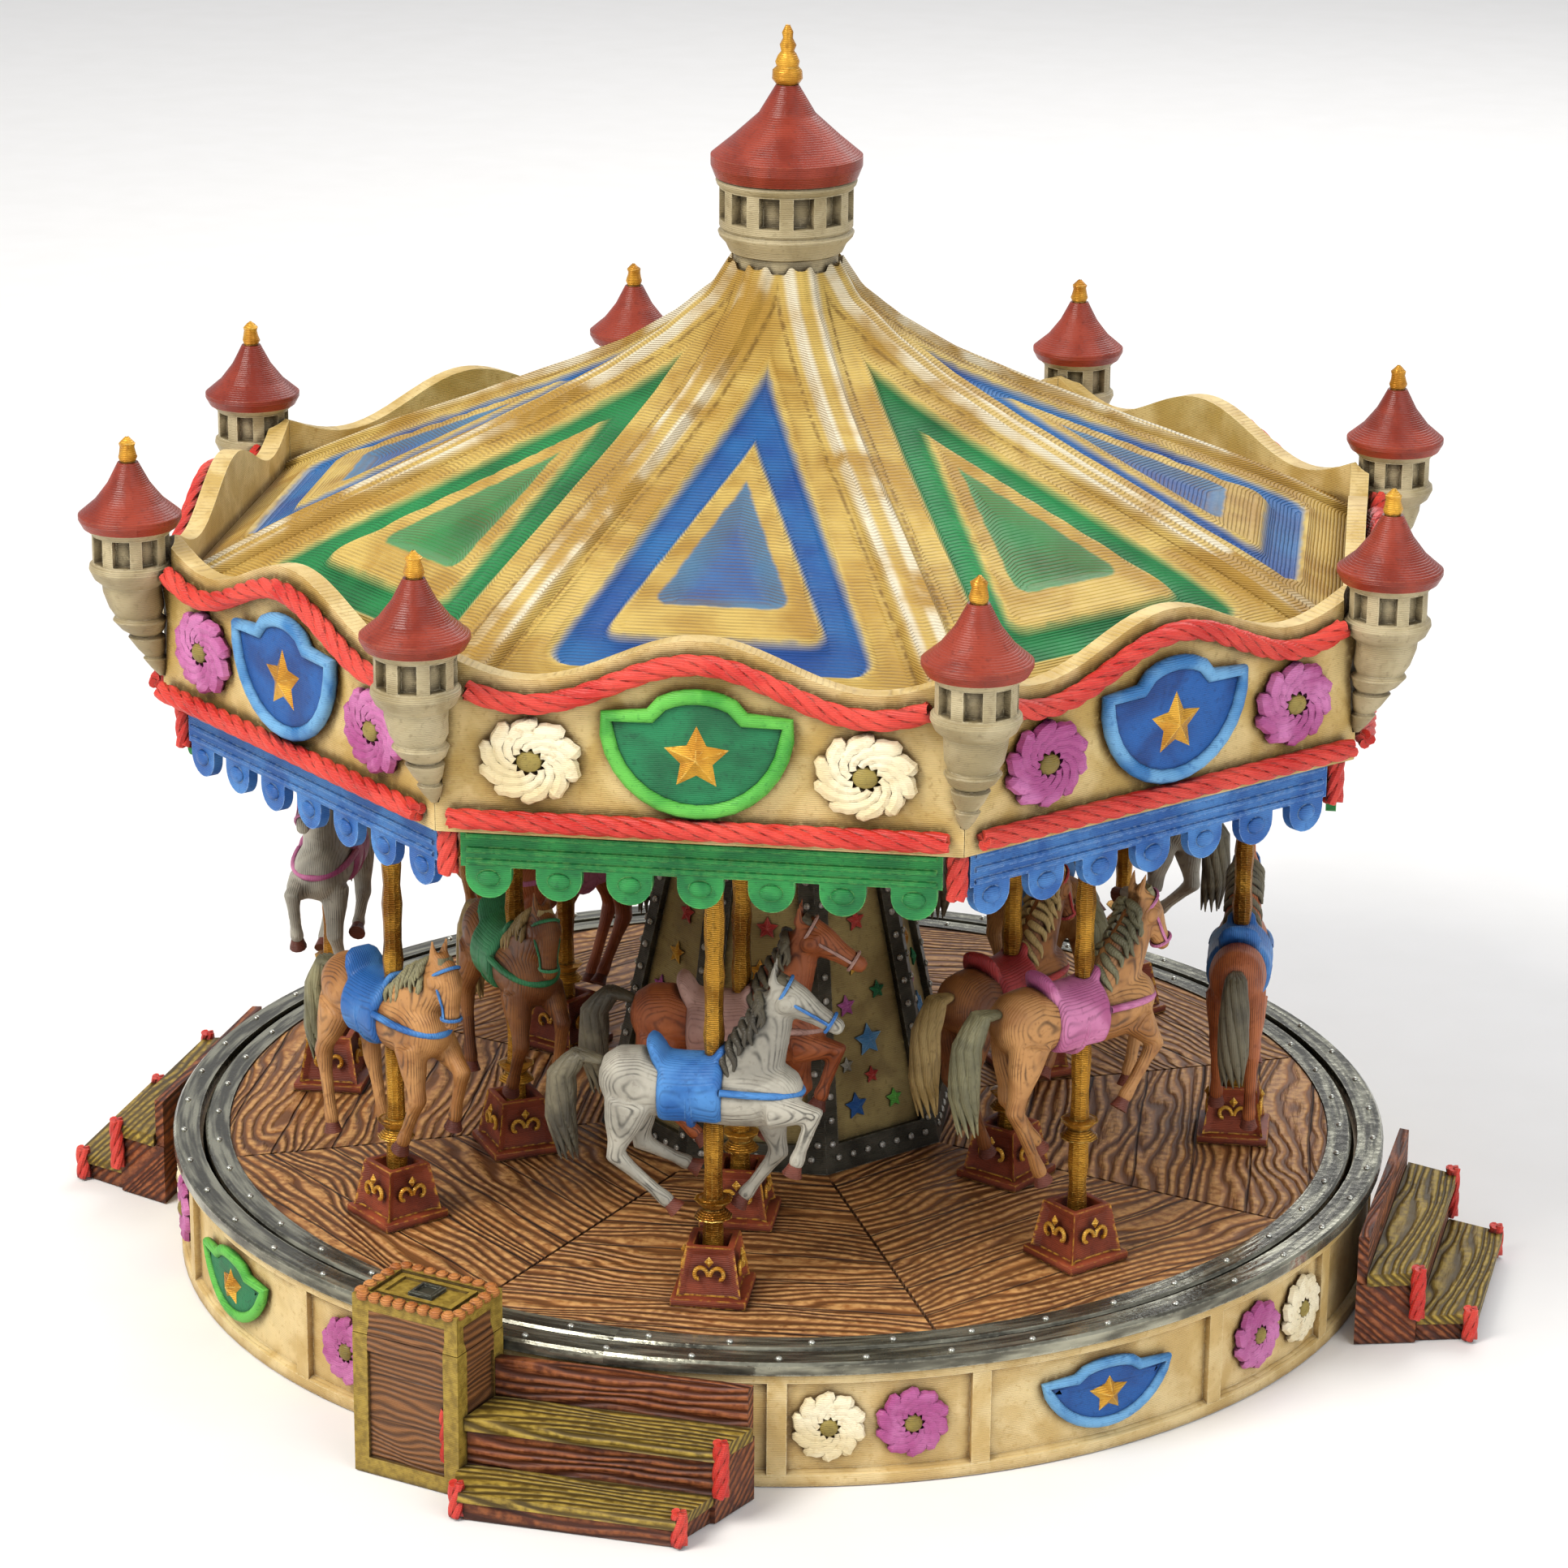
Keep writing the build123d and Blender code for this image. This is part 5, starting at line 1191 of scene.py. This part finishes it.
slot_plate.data.transform(placed(0, -BOOTH_REACH * MM, 0, math.pi / 4))
for piece, label, paint, paint_slot, replaced in (
    (lid, "booth_lid_box", "booth", "brown_wood_paint", ("booth_lid",)),
    (carved, "booth_carved_rim", "carved", "tan_paint", ()),
    (slot_plate, "booth_slot_plate", "lid_plate", "iron_paint", ()),
):
    piece.data.transform(Matrix.Rotation(BOOTH_TURN, 4, "Z"))
    piece.name = label
    dress(piece, paint, "booth_lid", replaced)

# =============================================================== horses ==========
# The torso's sections as (forward, across, up, half thickness, half width).
TORSO = ((-17.4, 0, 20.4, 1.4, 1.4), (-16.6, 0, 20.4, 3.4, 3.0), (-14.6, 0, 20.5, 4.9, 4.2),
         (-11.5, 0, 20.2, 5.4, 4.7), (-7.5, 0, 19.5, 4.9, 4.4), (-4, 0, 19.0, 4.8, 4.4),
         (0, 0, 18.9, 5.0, 4.5), (3, 0, 18.9, 5.2, 4.6), (6.2, 0, 19.1, 5.3, 4.5),
         (8.6, 0, 19.4, 5.1, 4.2), (11.2, 0, 19.7, 4.2, 3.5), (12.8, 0, 19.8, 2.8, 2.4),
         (13.5, 0, 19.8, 1.2, 1.2))
# Each gait: neck and head as (forward, up, half thickness, half width), the ears' foot and tip,
# each leg's root, knee and fetlock as (forward, across, up), and the tail's line.
GAITS = {
    "gallop": {
        "neck": ((4.5, 22.0, 5.2, 3.4), (6.8, 26.4, 4.5, 2.7), (8.6, 31.0, 3.4, 2.2), (9.6, 34.6, 2.7, 1.9)),
        "head": ((8.6, 36.2, 2.0, 1.7), (10.4, 35.4, 2.8, 2.0), (12.8, 33.9, 2.6, 1.9),
                 (15.4, 32.3, 1.8, 1.4), (17.6, 31.0, 1.5, 1.3), (19.0, 30.2, 1.3, 1.1),
                 (19.5, 29.9, 0.7, 0.7)),
        "ears": (8.9, 37.4, 9.3, 40.2),
        "legs": (
            ((8.6, -2.6, 17.4), (15.6, -2.8, 17.4), (13.0, -2.8, 9.4)),
            ((7.8, 2.6, 16.6), (9.6, 2.8, 8.6), (4.6, 2.8, 1.4)),
            ((-12.6, -2.6, 17.6), (-14.6, -2.8, 8.8), (-6.8, -2.8, 2.0)),
            ((-12.0, 2.6, 17.6), (-11.4, 3.0, 8.8), (-4.6, 3.6, 5.6)),
        ),
        "tail": ((-16.6, 22.6), (-20.6, 23.8), (-23.2, 20.6), (-23.4, 13.6), (-22.2, 7.0)),
    },
    "canter": {
        "neck": ((4.6, 22.0, 5.2, 3.4), (7.4, 26.2, 4.5, 2.8), (9.8, 30.4, 3.5, 2.3),
                 (11.0, 33.6, 2.8, 1.9)),
        "head": ((10.2, 36.0, 1.9, 1.7), (11.6, 34.4, 2.8, 2.0), (13.2, 31.8, 2.6, 1.9),
                 (14.6, 29.4, 1.8, 1.4), (15.6, 27.6, 1.5, 1.3), (16.1, 26.6, 1.2, 1.1),
                 (16.3, 26.1, 0.7, 0.7)),
        "ears": (10.2, 36.8, 10.8, 39.4),
        "legs": (
            ((8.6, -2.6, 17.2), (12.6, -2.8, 12.2), (6.8, -2.8, 4.6)),
            ((8.2, 2.6, 17.0), (14.0, 2.8, 13.6), (12.4, 2.8, 5.6)),
            ((-12.6, -2.6, 17.4), (-15.6, -2.8, 7.4), (-10.4, -2.8, -3.6)),
            ((-12.0, 2.6, 17.4), (-12.4, 2.8, 7.0), (-6.6, 2.8, -1.4)),
        ),
        "tail": ((-16.6, 22.6), (-20.4, 23.0), (-23.0, 18.6), (-23.4, 11.0), (-22.4, 4.4)),
    },
    "trot": {
        "neck": ((5.0, 21.8, 5.2, 3.4), (8.6, 25.4, 4.6, 2.9), (11.8, 28.2, 3.8, 2.4),
                 (13.8, 30.4, 3.0, 2.0)),
        "head": ((12.8, 32.2, 1.9, 1.7), (14.6, 30.4, 2.7, 2.0), (15.6, 27.8, 2.6, 1.9),
                 (16.0, 25.4, 1.8, 1.4), (16.2, 23.4, 1.5, 1.3), (16.2, 22.2, 1.2, 1.1),
                 (16.2, 21.6, 0.7, 0.7)),
        "ears": (12.8, 32.8, 13.2, 35.4),
        "legs": (
            ((8.6, -2.6, 17.0), (10.6, -2.8, 8.6), (6.4, -2.8, 0.6)),
            ((8.6, 2.6, 17.2), (14.8, 2.8, 13.4), (12.6, 2.8, 5.4)),
            ((-12.6, -2.6, 17.4), (-16.6, -2.8, 8.4), (-14.6, -2.8, -2.6)),
            ((-12.0, 2.6, 17.4), (-11.0, 2.8, 8.0), (-8.0, 2.8, -1.6)),
        ),
        "tail": ((-16.6, 22.4), (-19.6, 22.2), (-21.8, 17.6), (-22.2, 10.4), (-21.4, 5.0)),
    },
}


BODY_VOXEL, SADDLE_VOXEL = 0.42, 0.4


def between(first, second, share):
    return tuple(a + (b - a) * share for a, b in zip(first, second))


def leg_sections(leg, hind):
    """A leg's line with its muscle, joints and pastern."""
    root, knee, fetlock = leg
    top = 3.9 if hind else 3.1
    return [(*root, top, 2.5), (*between(root, knee, 0.4), top * 0.78, 2.1),
            (*between(root, knee, 0.78), 1.7, 1.5), (*knee, 1.65, 1.5),
            (*between(knee, fetlock, 0.3), 1.15, 1.1), (*between(knee, fetlock, 0.75), 1.0, 1.0),
            (*fetlock, 1.3, 1.2), (*between(knee, fetlock, 1.12), 0.95, 0.95)]


def melted(piece, voxel):
    """Runs overlapping shapes into one smooth skin."""
    apply(piece, "REMESH", mode="VOXEL", voxel_size=voxel * MM, use_smooth_shade=True)
    return apply(piece, "SMOOTH", factor=0.6, iterations=3)


def side_attribute(piece):
    """Keeps each point's place across the horse, for the print lines."""
    layer = piece.data.attributes.new("side", "FLOAT", "POINT")
    layer.data.foreach_set("value", [vertex.co.y for vertex in piece.data.vertices])
    return piece


def horse_body(gait):
    """Torso, neck, head and legs as bars, with cheeks, eyes and ears, melted into one skin."""
    shape = GAITS[gait]
    bar(TORSO, 20)
    bar([(x, 0, z, thick, wide) for x, z, thick, wide in shape["neck"]], 16, start=False)
    bar([(x, 0, z, thick, wide) for x, z, thick, wide in shape["head"]], 14, start=False)
    for number, leg in enumerate(shape["legs"]):
        bar(leg_sections(leg, number > 1), 10, start=False)
    jaw = between(shape["head"][1][:2], shape["head"][2][:2], 0.4)
    brow = between(shape["head"][1][:2], shape["head"][2][:2], 0.55)
    muzzle = Vector(shape["head"][5][:2]) - Vector(shape["head"][1][:2])
    upright = Vector((-muzzle.y, muzzle.x)).normalized()
    for side in (-1, 1):
        bpy.ops.mesh.primitive_uv_sphere_add(
            segments=12, ring_count=8, radius=1.9 * MM,
            location=Vector((jaw[0] - upright.x * 0.7, side * 1.0, jaw[1] - upright.y * 0.7)) * MM)
        bpy.ops.mesh.primitive_uv_sphere_add(
            segments=10, ring_count=8, radius=0.62 * MM,
            location=Vector((brow[0] + upright.x * 0.9, side * 1.75, brow[1] + upright.y * 0.9)) * MM)
        x0, z0, x1, z1 = shape["ears"]
        rise = Vector((x1 - x0, side * 0.5, z1 - z0))
        bpy.ops.mesh.primitive_cone_add(
            vertices=8, radius1=0.85 * MM, radius2=0.2 * MM, depth=rise.length * 1.4 * MM,
            location=Vector(((x0 + x1) / 2, side * 1.15, (z0 + z1) / 2)) * MM,
            rotation=rise.to_track_quat("Z", "Y").to_euler())
    return side_attribute(melted(leave(), BODY_VOXEL))


def horse_hooves(gait):
    """A widening hoof at the end of each shin."""
    for number, (_, knee, fetlock) in enumerate(GAITS[gait]["legs"]):
        shin = (Vector(fetlock) - Vector(knee)).normalized()
        start, stop = Vector(fetlock) + shin * 0.5, Vector(fetlock) + shin * 2.3
        middle = (start + stop) / 2
        bar([(*start, 1.0, 1.0), (*middle, 1.25, 1.2), (*stop, 1.6, 1.45)], 12, start=number == 0)
    return side_attribute(settle(leave()))


def horse_hair(gait):
    """Locks along the crest of the neck, a forelock and a full tail."""
    shape = GAITS[gait]
    routes, swells = [], []
    crest = [section[:3] for section in shape["neck"] + (shape["head"][0],)]
    face = Vector(shape["head"][5][:2]) - Vector(shape["head"][0][:2])
    forwards = Vector((-face.y, face.x)).normalized()
    for i in range(11):
        share = i / 10 * (len(crest) - 1)
        k = min(int(share), len(crest) - 2)
        x, z, thick = between(crest[k], crest[k + 1], share - k)
        run = Vector((crest[k + 1][0] - crest[k][0], crest[k + 1][1] - crest[k][1])).normalized()
        back = Vector((-run.y, run.x)) * thick * 0.94
        for side in (-1, 1):
            length = 3.1 + 0.8 * math.sin(i * 1.7 + side)
            route = []
            for j in range(7):
                fall = j / 6
                route.append((x + back.x * (1 - fall * 0.5) - 0.9 * fall + 0.3 * math.sin(j * 1.3 + i),
                              side * (0.35 + 2.7 * math.sin(fall * 1.5)),
                              z + back.y * (1 - fall * 0.2) - length * fall ** 1.4))
            routes.append(route)
            swells.append([0.8, 1.0, 1.0, 0.9, 0.75, 0.5, 0.25])
    head = Vector(shape["head"][0][:2])
    for side in (-0.5, 0.0, 0.5):
        route = []
        for j in range(5):
            place = head + face * (j / 4 * 0.42) + forwards * (2.0 - 0.15 * j)
            route.append((place.x, side + side * j * 0.4, place.y))
        routes.append(route)
        swells.append([1.0, 1.1, 0.9, 0.6, 0.2])
    tail = shape["tail"]
    for strand in range(9):
        turn = math.tau * strand / 9
        route, swell = [], []
        for j in range(13):
            share = j / 12 * (len(tail) - 1)
            k = min(int(share), len(tail) - 2)
            x, z = between(tail[k], tail[k + 1], share - k)
            spread = 0.35 + 1.15 * math.sin(min(j / 12, 0.8) * 2.2)
            twist = turn + j * 0.22
            route.append((x + spread * math.cos(twist), spread * math.sin(twist) * 1.1, z))
            swell.append((0.75 + 0.6 * math.sin(j / 12 * 2.6)) * (1.0 if j < 10 else (12.4 - j) / 3))
        routes.append(route)
        swells.append(swell)
    return side_attribute(settle(tube(routes, 0.72, "hair", taper=swells)))


def horse_tack(gait):
    """Saddle with its raised back, girth, breast strap and bridle."""
    saddle = []
    for x, half_high, half_wide in ((-8.2, 5.0, 4.6), (-7.4, 5.9, 5.3), (-4.4, 5.75, 5.2), (-1.4, 5.8, 5.3),
                                    (1.0, 6.1, 5.4), (1.8, 5.2, 4.7)):
        saddle.append((x, 0, 19.3, half_high, half_wide))
    bar(saddle, 28)
    bpy.ops.mesh.select_all(action="SELECT")
    bpy.ops.mesh.bisect(plane_co=(0, 0, 15.2 * MM), plane_no=(0, 0, 1), use_fill=True, clear_inner=True)
    bar([(-7.6, 0, 23.0, 1.6, 3.4), (-8.4, 0, 25.2, 1.4, 3.6), (-9.2, 0, 26.8, 1.1, 3.0),
         (-9.6, 0, 27.6, 0.6, 1.8)], 14, start=False)
    bar([(0.6, 0, 24.6, 0.9, 2.6), (1.4, 0, 25.8, 1.0, 2.4), (1.8, 0, 26.6, 0.6, 1.6)], 12, start=False)
    piece = melted(leave(), SADDLE_VOXEL)
    girth = [(-3.2, 4.75 * math.sin(math.tau * i / 24), 19.0 + 5.25 * math.cos(math.tau * i / 24))
             for i in range(24)]
    breast = []
    for i in range(25):
        turn = -math.pi * 0.5 + math.pi * i / 24
        breast.append((1.5 + 11.9 * math.cos(turn) ** 0.8 if abs(turn) < 1.5 else 1.5,
                       4.75 * math.sin(turn), 20.6 - 0.8 * math.cos(turn)))
    straps = [tube([girth], 0.62, "girth", closed=True), tube([breast], 0.6, "breast")]
    shape = GAITS[gait]["head"]
    for index, grow in ((1, 1.06), (4, 1.12)):
        x, z, thick, wide = shape[index]
        ahead = Vector(shape[index + 1][:2]) - Vector(shape[index - 1][:2])
        across = Vector((-ahead.y, ahead.x)).normalized()
        loop = []
        for i in range(16):
            turn = math.tau * i / 16
            loop.append((x + across.x * thick * grow * math.cos(turn), wide * grow * math.sin(turn),
                         z + across.y * thick * grow * math.cos(turn)))
        straps.append(tube([loop], 0.28, "bridle", 6, closed=True))
    for side in (-1, 1):
        route = [(x, side * wide * 1.04, z) for x, z, _, wide in shape[1:5]]
        straps.append(tube([route], 0.26, "cheek", 6))
    return side_attribute(settle(joined([piece] + straps, "tack")))


# What the horses of the fourteen poles look like, outer row first.
HORSE_HEIGHT = 31.0
outer_gaits = ("gallop", "canter", "trot", "gallop", "trot", "canter", "gallop", "trot")
inner_gaits = ("gallop", "canter", "gallop", "trot", "canter", "trot")
coats_worn = ("grey", "tan", "chestnut", "grey", "bay", "tan", "grey", "tan",
              "chestnut", "bay", "tan", "black", "chestnut", "bay")
hair_worn = ("dark", "olive", "dark", "dark", "dark", "olive", "dark", "olive",
             "dark", "straw", "olive", "dark", "dark", "straw")
tack_worn = ("blue", "pink", "blue", "red", "green", "dusty", "pink", "blue",
             "dusty", "red", "blue", "green", "pink", "green")
patterns = {gait: (horse_body(gait), horse_hair(gait), horse_tack(gait), horse_hooves(gait))
            for gait in GAITS}
for (reach, angle), row, lift, gait, coat, hair, tack in zip(
        pole_spots, row_names, lifts, outer_gaits + inner_gaits, coats_worn, hair_worn, tack_worn):
    place = spot(reach * MM, angle, (HORSE_HEIGHT + lift) * MM)
    for pattern, label, material, paint_slot, replaced in zip(
            patterns[gait], ("body", "hair", "tack", "hooves"),
            ("coat_" + coat, "hair_" + hair, "tack_" + tack, "hoof"),
            ("horse_" + coat, "horse_" + coat, "blue_paint", "oxblood_paint"),
            (("horse_" + row,), (), (), ())):
        made = copy_to(pattern, place)
        made.name = "horse_%s_%s" % (row, label)
        dress(made, material, "horse_%s_and_pole" % row, replaced, angle=60)
for gait_patterns in patterns.values():
    for pattern in gait_patterns:
        bpy.data.objects.remove(pattern)

# ==================================================== floor, light and camera =====
deselect()
bpy.ops.mesh.primitive_plane_add(size=6.0, location=(0, 0, -0.2 * MM))
floor = bpy.context.object
floor.name = "floor"
floor_finish = Finish("floor_paper")
floor_clouds = floor_finish.noise(floor_finish.place, 60.0, 4.0)
floor.data.materials.append(floor_finish.close(
    floor_finish.mix(floor_clouds, colour("F0EEEA"), colour("F6F4F1")), floor_clouds, 0.00005, 0.85))

world = bpy.data.worlds.new("studio")
bpy.context.scene.world = world
world.use_nodes = True
backdrop = world.node_tree.nodes["Background"]
backdrop.inputs[0].default_value = (0.93, 0.95, 1.0, 1.0)
backdrop.inputs[1].default_value = 0.56


LIGHT_AIM = Vector((0, 0, 0.07))


def area_light(name, place, size, power, tint):
    """A square lamp at a place in metres, aimed at the ride's middle."""
    light = bpy.data.lights.new(name, "AREA")
    light.size = size
    light.energy = power
    light.color = tint
    lamp = linked(name, light)
    lamp.location = place
    lamp.rotation_euler = (LIGHT_AIM - Vector(place)).to_track_quat("-Z", "Y").to_euler()


area_light("key", (-0.55, -0.75, 1.0), 0.6, 15.0, (1.0, 0.97, 0.92))
area_light("fill", (0.9, -0.7, 0.6), 0.9, 6.0, (0.93, 0.96, 1.0))
area_light("back", (0.1, 0.9, 0.9), 0.8, 6.0, (1.0, 1.0, 1.0))

CAMERA_PLACE = Vector((0.1880, -0.7114, 0.3226))
CAMERA_AIM = Vector((0, 0, 0.0771))
CAMERA_ROLL = math.radians(0.487)
camera_data = bpy.data.cameras.new("camera")
camera_data.lens = 108.6
camera_data.shift_x = 0.0016
camera = linked("camera", camera_data)
camera.location = CAMERA_PLACE
aim = (CAMERA_AIM - CAMERA_PLACE).to_track_quat("-Z", "Y").to_matrix().to_4x4()
camera.rotation_euler = (aim @ Matrix.Rotation(CAMERA_ROLL, 4, "Z")).to_euler()
camera_data.clip_start = 0.01
camera_data.clip_end = 20.0
bpy.context.scene.camera = camera
bpy.context.scene.view_settings.view_transform = "Standard"
